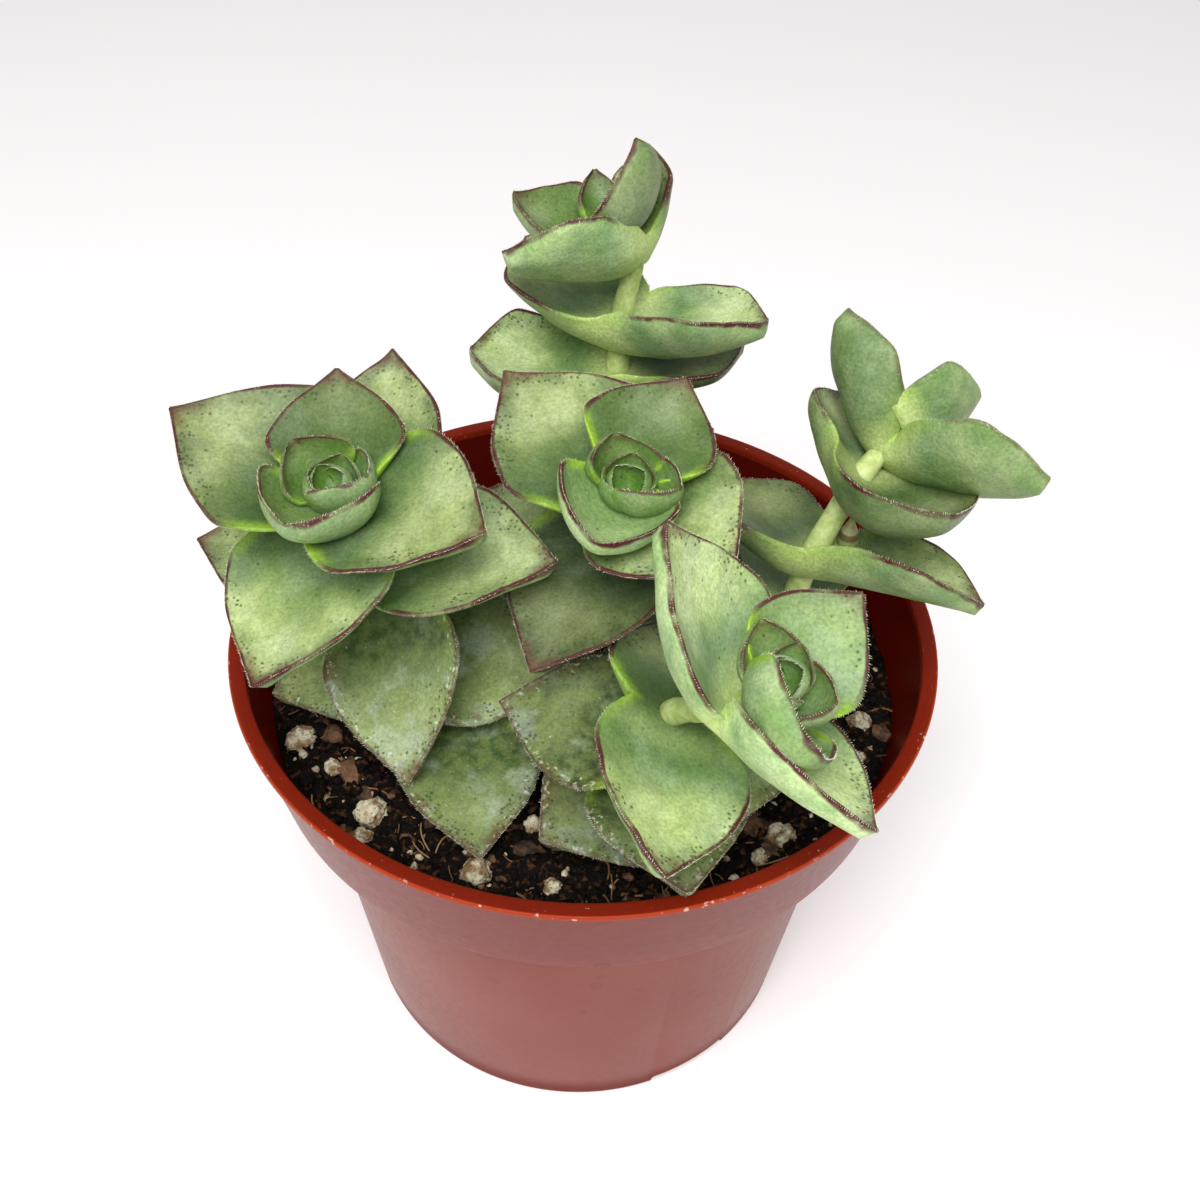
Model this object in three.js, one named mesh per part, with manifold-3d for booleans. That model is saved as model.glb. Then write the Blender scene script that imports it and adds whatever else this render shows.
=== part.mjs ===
// String of buttons (Crassula perforata) growing in its plastic nursery pot.
//
// Millimetres, +Z up. The origin is the centre of the pot's flat foot, and -Y is
// the side that the rosettes lean towards.
//
// Each leafy stem is one solid: a slim stem that carries pairs of leaves, where
// the two leaves of a pair are grown together round the stem. Every leaf is one
// closed blade with a boat-shaped section, placed by its compass heading and its
// rise. The stems stand in plain holes in the soil, and the soil lies in the pot.

import * as THREE from 'three';
import { mergeVertices } from 'three/addons/utils/BufferGeometryUtils.js';
import Module from 'manifold-3d';

const wasm = await Module();
wasm.setup();

// ---------------------------------------------------------------- driving sizes

const POT = {
  height: 46.8,
  rimRadius: 32.5,
  lipWidth: 1.4,
  lipDepth: 0.5,
  lipRound: 0.15,
  collarTopRadius: 32.1,
  collarFootRadius: 30.0,
  collarFootHeight: 35.6,
  bodyTopRadius: 26.8,
  footRadius: 22.9,
  wall: 1.0,
  floor: 1.0,
  edgeRound: 0.3,
  sides: 40,
};

// Three low notches in the corner between the pot's foot and its wall.
const DRAIN = { count: 3, width: 9, height: 1.3, depth: 3, firstHeading: -60 };

const SOIL = {
  level: 40,
  mound: 0.9, // how much higher the middle is than the edge
  hollows: 0.5, // how far the surface swings up and down
  hollowSpacing: 17,
  gapToPot: 0.4,
  cornerRound: 1,
  rings: 5,
  sides: 32,
};

// White perlite on the soil: [x, y, radius] of the lumps that lie in the open.
const PERLITE = [
  [-18.6, -17.6, 1.5],
  [-9.4, -23.8, 1.3],
  [-25.6, -9.4, 1.5],
  [-4.6, -19.0, 0.9],
  [-22.4, -12.6, 0.9],
  [-3.0, -25.6, 0.8],
  [-19.2, -19.9, 0.9],
  [26.4, 1.8, 1.2],
  [25.4, -7.2, 1.1],
  [16.6, -20.4, 1.2],
  [14.6, -22.6, 0.9],
  [24.4, -11.6, 0.9],
  [20.6, 14.2, 1.1],
  [-19.4, 16.4, 1.2],
  [-8.4, 24.2, 1.0],
  [11.8, 23.0, 1.2],
  [-26.2, 4.6, 1.0],
];

// Small dark crumbs of peat, strewn at random between the perlite.
const CRUMBS = { count: 14, smallest: 0.6, largest: 1.1, fromWall: 2, fromStem: 4, seed: 7 };

// A lump's shape: how uneven it is, how narrow and how flat it is beside its length,
// and how far its middle stands over the soil, as shares of its radius.
const LUMP = { fineFrom: 1.2, uneven: 0.15, narrow: 0.12, flat: 0.75, raised: 0.1 };

const STEM = { radius: 1.05, sides: 8, buried: 9, upright: 3 };

// The plain hole in the soil that each stem stands in.
const HOLE = { clearance: 0.45, extraDepth: 0.3, sides: 12 };

const LEAF = {
  edge: 0.65, // thickness of the margin
  overlap: 0.1, // share of the reach by which a leaf by itself runs past the stem's axis
  tipShare: 0.03, // breadth of the blunt tip as a share of the greatest breadth
  rows: [0.16, 0.4, 0.66, 0.88, 1], // sections along the leaf, as shares of the reach
  smallRows: [0.25, 0.6, 1], // the same for a leaf with less than smallReach
  smallReach: 7,
  columns: 4,
  taper: 1.7, // how late the outline turns in towards the tip
  point: 1.15, // how straight it then runs to the tip
  swell: 2.2, // how full the section is between its margins
  thinning: 0.5, // share of the thickness that is gone at the tip
  blunt: 0.15, // last share of the length, where the tip thins out
};

// Sizes of a leaf by its age. reach is the distance from the stem's axis to the tip,
// cup is the half angle of the section's curve near the stem, bow is how far the
// midline swings outwards as a share of the reach, deep is the greatest thickness,
// widest is where the leaf is broadest and waist how broad it is at the stem, as a
// share of the greatest breadth. opening is the share of the curve that is gone at the tip.
const USUAL = { widest: 0.38, waist: 0.62, opening: 0.55 };
const AGES = {
  mature: { ...USUAL, reach: 15.5, breadth: 15, cup: 24, bow: 0.02, deep: 2.6 },
  old: { ...USUAL, reach: 15.5, breadth: 14.5, cup: 12, bow: -0.02, deep: 2.6 },
  loose: { ...USUAL, reach: 14, breadth: 12.5, cup: 32, bow: 0.03, deep: 2.8, widest: 0.62, waist: 0.5 },
  young: { ...USUAL, reach: 10, breadth: 11.5, cup: 66, bow: 0.14, deep: 2.0 },
  bud: { ...USUAL, reach: 5.4, breadth: 8, cup: 80, bow: 0.18, deep: 1.5, opening: 0.25 },
  core: { ...USUAL, reach: 3.6, breadth: 5.2, cup: 82, bow: 0.2, deep: 1.1, opening: 0.2 },
  tiny: { ...USUAL, reach: 2.4, breadth: 3.4, cup: 80, bow: 0.2, deep: 0.9, opening: 0.2 },
};

// Pairs of these ages face the way that their stem's crown does, not along the stem.
const NEWEST = ['young', 'bud', 'core', 'tiny'];
const CROWN = [0, -0.4, 1];

// heading: compass angle from +X towards +Y. rise: angle above the horizontal.
const leaf = (heading, rise, changes = {}) => ({ heading, rise, ...changes });

// One pair of leaves at a point of the stem. axis, if given, is the way that it faces.
const pair = (age, at, leaves, axis = null) => ({ age, at, leaves, axis });

// ---------------------------------------------------------------- the leafy stems

const STEMS = [
  {
    name: 'left_leafy_stem',
    colour: 0x8fa873,
    root: [-14.5, -2],
    pairs: [
      pair('old', [-15.8, -4, 47.6], [leaf(203, -6, { reach: 13 }), leaf(345, -6, { reach: 15 })]),
      pair('old', [-16.8, -4.5, 53.8], [
        leaf(277, -32, { reach: 16.5, breadth: 13.5, tilt: 14, cup: 30 }),
        leaf(97, 5, { reach: 13 }),
      ]),
      pair('mature', [-18.6, -5.2, 60.4], [
        leaf(163, -12, { reach: 16.5 }),
        leaf(343, 9, { reach: 17 }),
      ]),
      pair('mature', [-19.8, -5.4, 64], [
        leaf(247, -18, { reach: 16.6, breadth: 16 }),
        leaf(79, 21, { reach: 16.6 }),
      ]),
      pair('mature', [-20.5, -5.8, 66.7], [leaf(155, 13), leaf(326, 11)]),
      pair('young', [-20, -6.4, 67.6], [
        leaf(250, 18, { reach: 8.6, breadth: 12, cup: 78, opening: 0.3, tilt: 14 }),
        leaf(94, 27, { reach: 10.8, cup: 45 }),
      ]),
      pair('bud', [-20.4, -7, 67.9], [
        leaf(148, 42, { reach: 5 }),
        leaf(332, 38, { reach: 4.6, tilt: -30 }),
      ]),
      pair('core', [-20.2, -7.5, 67.9], [
        leaf(68, 50, { reach: 3.2 }),
        leaf(250, 40, { reach: 3.2 }),
      ]),
      pair('tiny', [-20.2, -7.7, 68.3], [leaf(150, 60), leaf(335, 60)]),
    ],
  },
  {
    name: 'centre_leafy_stem',
    colour: 0x8caa70,
    root: [3, 1],
    pairs: [
      pair('old', [2.8, -0.3, 53], [leaf(235, -8, { reach: 10 }), leaf(60, 0, { reach: 12 })]),
      pair('mature', [2.7, -2, 58], [leaf(145, -6), leaf(46, 26, { reach: 13.6, breadth: 10 })]),
      pair('mature', [2.6, -3.8, 62.2], [
        leaf(238, -23, { reach: 15.4, breadth: 14.5, tilt: 12 }),
        leaf(76, 13, { reach: 15 }),
      ]),
      pair('mature', [2.6, -5.2, 66.5], [leaf(131, 14), leaf(312, 0, { reach: 12.4 })]),
      pair('young', [2.6, -5.9, 68.2], [
        leaf(256, 8, { reach: 9.8, breadth: 11.5, cup: 74, opening: 0.35, tilt: -8 }),
        leaf(58, 20, { reach: 11, breadth: 12, cup: 45 }),
      ]),
      pair('bud', [2.6, -6.7, 68], [
        leaf(103, 44, { reach: 4.5, tilt: 20 }),
        leaf(326, 24, { reach: 5.6, tilt: -30 }),
      ]),
      pair('core', [2.8, -7.2, 67.9], [
        leaf(75, 48, { reach: 3.2 }),
        leaf(262, 36, { reach: 3.2 }),
      ]),
      pair('tiny', [2.9, -7.4, 68.3], [leaf(165, 60), leaf(345, 60)]),
    ],
  },
  {
    name: 'front_leafy_stem',
    colour: 0x94b078,
    root: [6, -15.5],
    pairs: [
      pair('old', [5.8, -16.5, 44.6], [leaf(216, 0, { reach: 12.3 }), leaf(25, 5, { reach: 12 })]),
      pair('old', [5.7, -17.5, 47.8], [
        leaf(277, 1, { reach: 14, breadth: 13.5 }),
        leaf(100, 5, { reach: 13 }),
      ]),
      pair('old', [5.8, -18.3, 51.6], [
        leaf(160, -5, { reach: 14.4, breadth: 13.5 }),
        leaf(347, -10, { reach: 12 }),
      ]),
      pair('mature', [6.3, -19.5, 55.5], [
        leaf(265, -1, { breadth: 13.8 }),
        leaf(89, -7, { reach: 12.4, breadth: 11, cup: 8 }),
      ]),
      pair(
        'mature',
        [10.5, -24, 61.2],
        [
          leaf(130, 56, { reach: 15.2, breadth: 16.5, cup: 40 }),
          leaf(308, -1, { reach: 14.2, breadth: 15, cup: 46, deep: 2.2 }),
        ],
        [0.8, -0.2, 0.6],
      ),
      pair(
        'young',
        [12.6, -25.4, 64.2],
        [
          leaf(284, 20, { reach: 9, breadth: 10.5, cup: 75, opening: 0.3, tilt: -34 }),
          leaf(38, 30, { reach: 10, breadth: 10.8, cup: 45 }),
        ],
        [0.4, -0.35, 0.8],
      ),
      pair('bud', [13, -26, 65.2], [
        leaf(112, 46, { breadth: 6 }),
        leaf(318, 24, { reach: 5, breadth: 6 }),
      ]),
      pair('core', [13.1, -26.2, 65.6], [
        leaf(60, 50, { breadth: 4.4 }),
        leaf(240, 50, { breadth: 4.4 }),
      ]),
      pair('tiny', [13.1, -26.3, 66.2], [leaf(150, 60), leaf(330, 60)]),
    ],
  },
  {
    name: 'back_leafy_stem',
    colour: 0x86a56b,
    root: [2.5, 17],
    crown: [0, 0, 1],
    pairs: [
      pair('loose', [2.9, 18, 57], [leaf(80, 0), leaf(260, 0, { reach: 12 })]),
      pair('loose', [3.1, 17.8, 62.7], [
        leaf(176, 5.5, { reach: 14.2, breadth: 15, widest: 0.7, cup: 48, bow: 0.1, opening: 0.35 }),
        leaf(12, 8, { reach: 12.7 }),
      ]),
      pair(
        'loose',
        [3.3, 18.8, 67],
        [
          leaf(340, 14, { reach: 14.2, breadth: 17, widest: 0.6, waist: 0.65, cup: 50, tilt: -6, bow: 0.05 }),
          leaf(135, 18, { reach: 13.2, breadth: 15.5, waist: 0.65, bow: 0.06 }),
        ],
        [-0.05, 0.25, 1],
      ),
      pair(
        'loose',
        [4, 19.5, 74.6],
        [leaf(204, 10, { reach: 12.8, tilt: 22 }), leaf(78, 42, { reach: 9.6, breadth: 6 })],
        [-0.1, 0.35, 0.9],
      ),
      pair(
        'young',
        [1.8, 19, 75.2],
        [leaf(302, 71, { reach: 12, breadth: 11.5, cup: 50, tilt: 38 })],
        [-0.1, 0.35, 0.9],
      ),
      pair('young', [1.8, 18.8, 76.2], [leaf(174, 22, { reach: 9.2, cup: 50 })]),
      pair('bud', [1.8, 18.8, 76.8], [leaf(105, 36, { reach: 5.8, breadth: 5 })]),
    ],
  },
  {
    name: 'right_leafy_stem',
    colour: 0x8ba873,
    root: [17, -2],
    pairs: [
      pair('loose', [18.2, -3, 51], [leaf(80, 0), leaf(260, 0, { reach: 10 })]),
      pair('loose', [19.3, -3.7, 58.4], [
        leaf(335, 0, { reach: 15, breadth: 13, cup: 55, tilt: -10, bow: -0.04, deep: 2.2 }),
        leaf(134, 13, { reach: 10.6, breadth: 14 }),
      ]),
      pair(
        'loose',
        [23.3, -0.4, 64.7],
        [
          leaf(305, 12, { reach: 10, breadth: 15.5, waist: 0.8, cup: 52, bow: 0.16, tilt: 14 }),
          leaf(97, 14, { reach: 9, breadth: 11.5, waist: 0.8, cup: 45 }),
        ],
        [0.45, 0.4, 0.8],
      ),
      pair(
        'loose',
        [26, 2.5, 65.8],
        [leaf(127, 53, { reach: 12, breadth: 8.2 }), leaf(331, 5, { reach: 13.6, breadth: 14.5 })],
        [0.4, 0.7, 0.6],
      ),
      pair(
        'loose',
        [27.2, 3.9, 65.9],
        [leaf(23, 28, { reach: 7.4, breadth: 13.5, widest: 0.65, waist: 0.8 })],
        [0.4, 0.7, 0.6],
      ),
    ],
  },
  {
    name: 'low_leafy_stem',
    colour: 0x7d9162,
    root: [-11, -9.5],
    pairs: [
      pair('old', [-11, -9.5, 43.6], [
        leaf(278, -1, { reach: 15.3, breadth: 12.5, deep: 2 }),
        leaf(98, 4, { reach: 5, breadth: 7, deep: 2 }),
      ]),
    ],
  },
];

// ---------------------------------------------------------------- solids

const WELD = 1e-4; // points closer than this are one vertex

/** A small seeded random source that gives numbers from 0 to 1. */
function seededRandom(seed) {
  let state = seed;
  return () => {
    state = (state * 1664525 + 1013904223) % 4294967296;
    return state / 4294967296;
  };
}

/** The same geometry with only its positions, where faces that meet share their vertices. */
function welded(geometry) {
  const bare = geometry.clone();
  bare.deleteAttribute('normal');
  bare.deleteAttribute('uv');
  return mergeVertices(bare, WELD);
}

/** Turns a closed three.js geometry into a solid, with its faces pointing out. */
function solidFrom(geometry) {
  const shape = welded(geometry);
  const triangles = [];
  for (let i = 0; i < shape.index.count; i += 3) {
    const [a, b, c] = [0, 1, 2].map((k) => shape.index.getX(i + k));
    if (a !== b && b !== c && c !== a) triangles.push(a, b, c);
  }
  const vertProperties = new Float32Array(shape.attributes.position.array);
  const build = (triVerts) =>
    new wasm.Manifold(new wasm.Mesh({ numProp: 3, vertProperties, triVerts: new Uint32Array(triVerts) }));
  const solid = build(triangles);
  if (solid.volume() > 0) return solid;
  const flipped = [];
  for (let i = 0; i < triangles.length; i += 3) {
    flipped.push(triangles[i], triangles[i + 2], triangles[i + 1]);
  }
  return build(flipped);
}

/** Turns a solid back into a three.js geometry. */
function geometryFrom(solid) {
  const mesh = solid.getMesh();
  const geometry = new THREE.BufferGeometry();
  geometry.setAttribute('position', new THREE.BufferAttribute(new Float32Array(mesh.vertProperties), 3));
  geometry.setIndex(new THREE.BufferAttribute(new Uint32Array(mesh.triVerts), 1));
  geometry.computeVertexNormals();
  return geometry;
}

/** Joins solids into one and drops any loose scrap. */
function joined(solids) {
  const whole = solids.reduce((sum, next) => sum.add(next));
  return whole.decompose().reduce((best, piece) => (piece.volume() > best.volume() ? piece : best));
}

/** A named mesh of a solid, with a plain colour. */
function meshFrom(name, solid, look) {
  const mesh = new THREE.Mesh(geometryFrom(solid), new THREE.MeshStandardMaterial(look));
  mesh.name = name;
  return mesh;
}

/** A turned solid about +Z from [radius, height] points that start and end on the axis. */
function turned(points, sides) {
  const profile = points.map(([radius, height]) => new THREE.Vector2(radius, height));
  return new THREE.LatheGeometry(profile, sides).rotateX(Math.PI / 2);
}

// ---------------------------------------------------------------- pot

/** Inner radius of the pot's collar or body at a height. */
function potInside(height) {
  const inCollar = height > POT.collarFootHeight;
  const low = inCollar ? POT.collarFootHeight : 0;
  const high = inCollar ? POT.height : POT.collarFootHeight;
  const lowRadius = inCollar ? POT.collarFootRadius : POT.footRadius;
  const highRadius = inCollar ? POT.collarTopRadius : POT.bodyTopRadius;
  const share = (height - low) / (high - low);
  return lowRadius + (highRadius - lowRadius) * share - POT.wall;
}

/** The pot: one turned shell with its lip, collar and body, and the drain notches cut out. */
function potSolid() {
  const { height, rimRadius, lipWidth, lipDepth, lipRound, wall, edgeRound: round } = POT;
  const lipInside = rimRadius - lipWidth;
  const shelf = POT.collarFootHeight + wall;
  const profile = [
    [0, 0],
    [POT.footRadius - 2 * round, 0],
    [POT.footRadius, 2 * round],
    [POT.bodyTopRadius, POT.collarFootHeight - 2 * round],
    [POT.bodyTopRadius + 2 * round, POT.collarFootHeight],
    [POT.collarFootRadius - round, POT.collarFootHeight],
    [POT.collarFootRadius, POT.collarFootHeight + round],
    [POT.collarTopRadius, height - lipDepth],
    [rimRadius - lipRound, height - lipDepth],
    [rimRadius, height - lipDepth + lipRound],
    [rimRadius, height - lipRound],
    [rimRadius - lipRound, height],
    [lipInside + lipRound, height],
    [lipInside, height - lipRound],
    [potInside(height - lipDepth), height - lipDepth],
    [potInside(shelf + round), shelf + round],
    [POT.collarFootRadius - wall - 2 * round, shelf],
    [POT.bodyTopRadius - wall, shelf],
    [potInside(POT.floor + round), POT.floor + round],
    [POT.footRadius - wall - 2 * round, POT.floor],
    [0, POT.floor],
  ];
  let pot = solidFrom(turned(profile, POT.sides));
  for (let i = 0; i < DRAIN.count; i += 1) {
    const heading = THREE.MathUtils.degToRad(DRAIN.firstHeading + (i * 360) / DRAIN.count);
    const notch = new THREE.BoxGeometry(2 * DRAIN.depth, DRAIN.width, 2 * DRAIN.height);
    notch.translate(POT.footRadius, 0, 0);
    notch.rotateZ(heading);
    pot = pot.subtract(solidFrom(notch));
  }
  return pot;
}

// ---------------------------------------------------------------- soil

/** Height of the soil's surface: a low mound with shallow hollows. */
function soilHeight(x, y) {
  const outwards = Math.hypot(x, y) / potInside(SOIL.level);
  const turns = (2 * Math.PI) / SOIL.hollowSpacing;
  const wave = Math.sin(x * turns) * Math.cos(y * turns);
  return SOIL.level + SOIL.mound * (1 - outwards ** 2) + SOIL.hollows * wave;
}

/** The bed of soil that fills the pot, without its lumps. */
function soilBed() {
  const { gapToPot: gap, cornerRound: round } = SOIL;
  const floor = POT.floor + gap;
  const shelf = POT.collarFootHeight + POT.wall + gap;
  const edge = potInside(SOIL.level) - gap;
  const profile = [
    [0, floor],
    [POT.footRadius - POT.wall - gap - round, floor],
    [potInside(floor + round) - gap, floor + round],
    [POT.bodyTopRadius - POT.wall - gap, shelf],
    [potInside(shelf) - gap - round, shelf],
    [potInside(shelf + round) - gap, shelf + round],
  ];
  for (let ring = SOIL.rings; ring >= 0; ring -= 1) {
    profile.push([(edge * ring) / SOIL.rings, SOIL.level]);
  }
  const bed = turned(profile, SOIL.sides);
  const position = bed.attributes.position;
  for (let i = 0; i < position.count; i += 1) {
    const [x, y, z] = [position.getX(i), position.getY(i), position.getZ(i)];
    if (z > SOIL.level - WELD) position.setZ(i, soilHeight(x, y));
  }
  return solidFrom(bed);
}

/** An uneven lump, flatter than wide, sunk nearly to its middle into the soil. */
function lump(x, y, radius, random) {
  const shape = welded(new THREE.IcosahedronGeometry(radius, radius < LUMP.fineFrom ? 0 : 1));
  const position = shape.attributes.position;
  for (let i = 0; i < position.count; i += 1) {
    const swell = 1 + LUMP.uneven * (2 * random() - 1);
    position.setXYZ(i, position.getX(i) * swell, position.getY(i) * swell, position.getZ(i) * swell);
  }
  shape.scale(1, 1 - LUMP.narrow, LUMP.flat);
  shape.rotateZ(random() * Math.PI);
  shape.translate(x, y, soilHeight(x, y) + radius * LUMP.raised);
  return solidFrom(shape);
}

/** Crumbs at random places that keep clear of the stems and of the pot's wall. */
function crumbPlaces(random) {
  const places = [];
  const reach = potInside(SOIL.level) - CRUMBS.fromWall;
  while (places.length < CRUMBS.count) {
    const angle = random() * 2 * Math.PI;
    const distance = reach * Math.sqrt(random());
    const [x, y] = [distance * Math.cos(angle), distance * Math.sin(angle)];
    const clearOfStems = STEMS.every(({ root }) => Math.hypot(x - root[0], y - root[1]) > CRUMBS.fromStem);
    const radius = CRUMBS.smallest + (CRUMBS.largest - CRUMBS.smallest) * random();
    if (clearOfStems) places.push([x, y, radius]);
  }
  return places;
}

/** The soil with its perlite and crumbs, and the holes that the stems stand in. */
function soilSolid() {
  const random = seededRandom(CRUMBS.seed);
  const pieces = [soilBed()];
  for (const [x, y, radius] of [...PERLITE, ...crumbPlaces(random)]) {
    pieces.push(lump(x, y, radius, random));
  }
  let soil = joined(pieces);
  const radius = STEM.radius + HOLE.clearance;
  const bottom = SOIL.level - STEM.buried - HOLE.extraDepth;
  const top = SOIL.level + STEM.upright + 1;
  for (const { root } of STEMS) {
    const hole = new THREE.CylinderGeometry(radius, radius, top - bottom, HOLE.sides).rotateX(Math.PI / 2);
    hole.translate(root[0], root[1], (top + bottom) / 2);
    soil = soil.subtract(solidFrom(hole));
  }
  return soil;
}

// ---------------------------------------------------------------- leaves and stems

/** Half breadth of a leaf along its length, as a share of its greatest half breadth. */
function outline(along, { widest, waist }) {
  const outwards = THREE.MathUtils.clamp(along / widest, 0, 1);
  const near = waist + (1 - waist) * Math.sin((Math.PI / 2) * outwards);
  const towardsTip = THREE.MathUtils.clamp((along - widest) / (1 - widest), 0, 1);
  return near * (1 - towardsTip ** LEAF.taper) ** LEAF.point;
}

/** The leaf's own directions: out to the tip, across it, and up from its upper face. */
function leafDirections({ heading, rise, tilt = 0 }, stemAxis) {
  const compass = THREE.MathUtils.degToRad(heading);
  const lift = THREE.MathUtils.degToRad(rise);
  const out = new THREE.Vector3(
    Math.cos(compass) * Math.cos(lift),
    Math.sin(compass) * Math.cos(lift),
    Math.sin(lift),
  );
  const across = new THREE.Vector3().crossVectors(stemAxis, out).normalize();
  across.applyAxisAngle(out, THREE.MathUtils.degToRad(tilt));
  const up = new THREE.Vector3().crossVectors(out, across);
  return { out, across, up };
}

/** The points of one section of a leaf, round its upper face and back along its lower face. */
function leafSection(sizes, node, { out, across, up }, along) {
  const beyond = Math.max(along, 0);
  const half = Math.max(outline(along, sizes), LEAF.tipShare) * (sizes.breadth / 2);
  const curve = THREE.MathUtils.degToRad(sizes.cup) * (1 - sizes.opening * beyond);
  const swing = sizes.bow * sizes.reach * (1 - (2 * beyond - 1) ** 2);
  const nearTip = Math.max((along - 1) / LEAF.blunt + 1, 0);
  const thinned = (1 - LEAF.thinning * beyond ** 2) * (1 - LEAF.thinning * nearTip);
  const deep = Math.max(sizes.deep * thinned, LEAF.edge);
  const tops = [];
  const bottoms = [];
  for (let column = 0; column <= LEAF.columns; column += 1) {
    const side = (2 * column) / LEAF.columns - 1;
    const [sin, cos] = [Math.sin(curve * side), Math.cos(curve * side)];
    const thickness = LEAF.edge + (deep - LEAF.edge) * (1 - Math.abs(side) ** LEAF.swell);
    const top = node
      .clone()
      .addScaledVector(out, along * sizes.reach)
      .addScaledVector(across, (half * sin) / curve)
      .addScaledVector(up, (half * (1 - cos)) / curve - swing);
    tops.push(top);
    const below = top.clone().addScaledVector(up, -thickness * cos);
    bottoms.unshift(below.addScaledVector(across, thickness * sin));
  }
  return [...tops, ...bottoms];
}

/** A closed solid through sections that all have the same number of points. */
function throughSections(sections) {
  const ring = sections[0].length;
  const triangles = [];
  for (let row = 0; row < sections.length - 1; row += 1) {
    for (let i = 0; i < ring; i += 1) {
      const [a, b] = [row * ring + i, row * ring + ((i + 1) % ring)];
      triangles.push(a, a + ring, b + ring, a, b + ring, b);
    }
  }
  const last = (sections.length - 1) * ring;
  for (let i = 0; i < ring / 2 - 1; i += 1) {
    const [near, far] = [i, ring - 1 - i];
    triangles.push(near, near + 1, far - 1, near, far - 1, far);
    triangles.push(last + near, last + far - 1, last + near + 1, last + near, last + far, last + far - 1);
  }
  const geometry = new THREE.BufferGeometry().setFromPoints(sections.flat());
  geometry.setIndex(triangles);
  return solidFrom(geometry);
}

/** The sections of one leaf from near the stem to its tip. */
function leafSections(sizes, node, stemAxis) {
  const directions = leafDirections(sizes, stemAxis);
  const rows = sizes.reach < LEAF.smallReach ? LEAF.smallRows : LEAF.rows;
  return rows.map((along) => leafSection(sizes, node, directions, along));
}

/** The same section seen from the other side, so that its points run the other way across. */
function mirrored(section) {
  const columns = section.length / 2;
  return [...section.slice(0, columns).reverse(), ...section.slice(columns).reverse()];
}

/** Two leaves grown together round the stem, as one blade from tip to tip. */
function pairSolid([first, second], node, stemAxis) {
  const one = leafDirections(first, stemAxis);
  const other = leafDirections(second, stemAxis);
  const waist = mirrored(leafSection(first, node, one, 0)).map((point, i) =>
    point.add(leafSection(second, node, other, 0)[i]).multiplyScalar(0.5),
  );
  const near = leafSections(first, node, stemAxis).map(mirrored).reverse();
  return throughSections([...near, waist, ...leafSections(second, node, stemAxis)]);
}

/** A leaf by itself, from just behind the stem's axis to its tip. */
function singleSolid(sizes, node, stemAxis) {
  const behind = leafSection(sizes, node, leafDirections(sizes, stemAxis), -LEAF.overlap);
  return throughSections([behind, ...leafSections(sizes, node, stemAxis)]);
}

/** The line of a stem: straight up out of the soil, then through every pair's place. */
function stemLine({ root, pairs }) {
  const [x, y] = root;
  const below = new THREE.Vector3(x, y, SOIL.level - STEM.buried);
  const middle = new THREE.Vector3(x, y, SOIL.level - STEM.buried / 2);
  const above = new THREE.Vector3(x, y, SOIL.level + STEM.upright / 2);
  return [below, middle, above, ...pairs.map(({ at }) => new THREE.Vector3(...at))];
}

/** The round stem along its line. */
function stemTube(line) {
  const section = new THREE.Shape();
  section.absarc(0, 0, STEM.radius, 0, 2 * Math.PI);
  const curve = new THREE.CatmullRomCurve3(line, false, 'centripetal');
  const tube = new THREE.ExtrudeGeometry(section, {
    curveSegments: STEM.sides / 2,
    steps: line.length,
    extrudePath: curve,
    bevelEnabled: false,
  });
  return solidFrom(tube);
}

/** The way that a pair faces: its own axis, its stem's crown, or along the stem. */
function facing({ age, axis }, stem, before, after) {
  if (axis) return new THREE.Vector3(...axis).normalize();
  if (NEWEST.includes(age)) return new THREE.Vector3(...(stem.crown ?? CROWN)).normalize();
  return new THREE.Vector3().subVectors(after, before).normalize();
}

/** A leafy stem: its tube with every leaf grown together with it. */
function leafyStem(stem) {
  const line = stemLine(stem);
  const pieces = [stemTube(line)];
  const firstPair = line.length - stem.pairs.length;
  stem.pairs.forEach((grown, index) => {
    const place = firstPair + index;
    const after = line[Math.min(place + 1, line.length - 1)];
    const direction = facing(grown, stem, line[place - 1], after);
    const node = line[place];
    const sizes = grown.leaves.map((changes) => ({ ...AGES[grown.age], ...changes }));
    if (sizes.length === 2) pieces.push(pairSolid(sizes, node, direction));
    else pieces.push(singleSolid(sizes[0], node, direction));
  });
  return joined(pieces);
}

// ---------------------------------------------------------------- the whole plant

const plant = new THREE.Group();
plant.add(meshFrom('pot', potSolid(), { color: 0x9f5244, roughness: 0.45, metalness: 0 }));
plant.add(meshFrom('soil', soilSolid(), { color: 0x241b15, roughness: 0.95, metalness: 0 }));
for (const stem of STEMS) {
  plant.add(meshFrom(stem.name, leafyStem(stem), { color: stem.colour, roughness: 0.55, metalness: 0 }));
}

export default plant;
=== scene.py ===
"""Looks of a string of buttons succulent in its nursery pot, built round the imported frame.

Sizes are in millimetres and are turned to metres where a mesh is made. +Z is up, the
origin is the centre of the pot's foot, and the rosettes lean towards -Y.
"""

from __future__ import annotations

import logging
import math
from dataclasses import dataclass, replace
from enum import Enum

import bmesh
import bpy
import numpy as np
from mathutils import Matrix, Vector, noise

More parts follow.
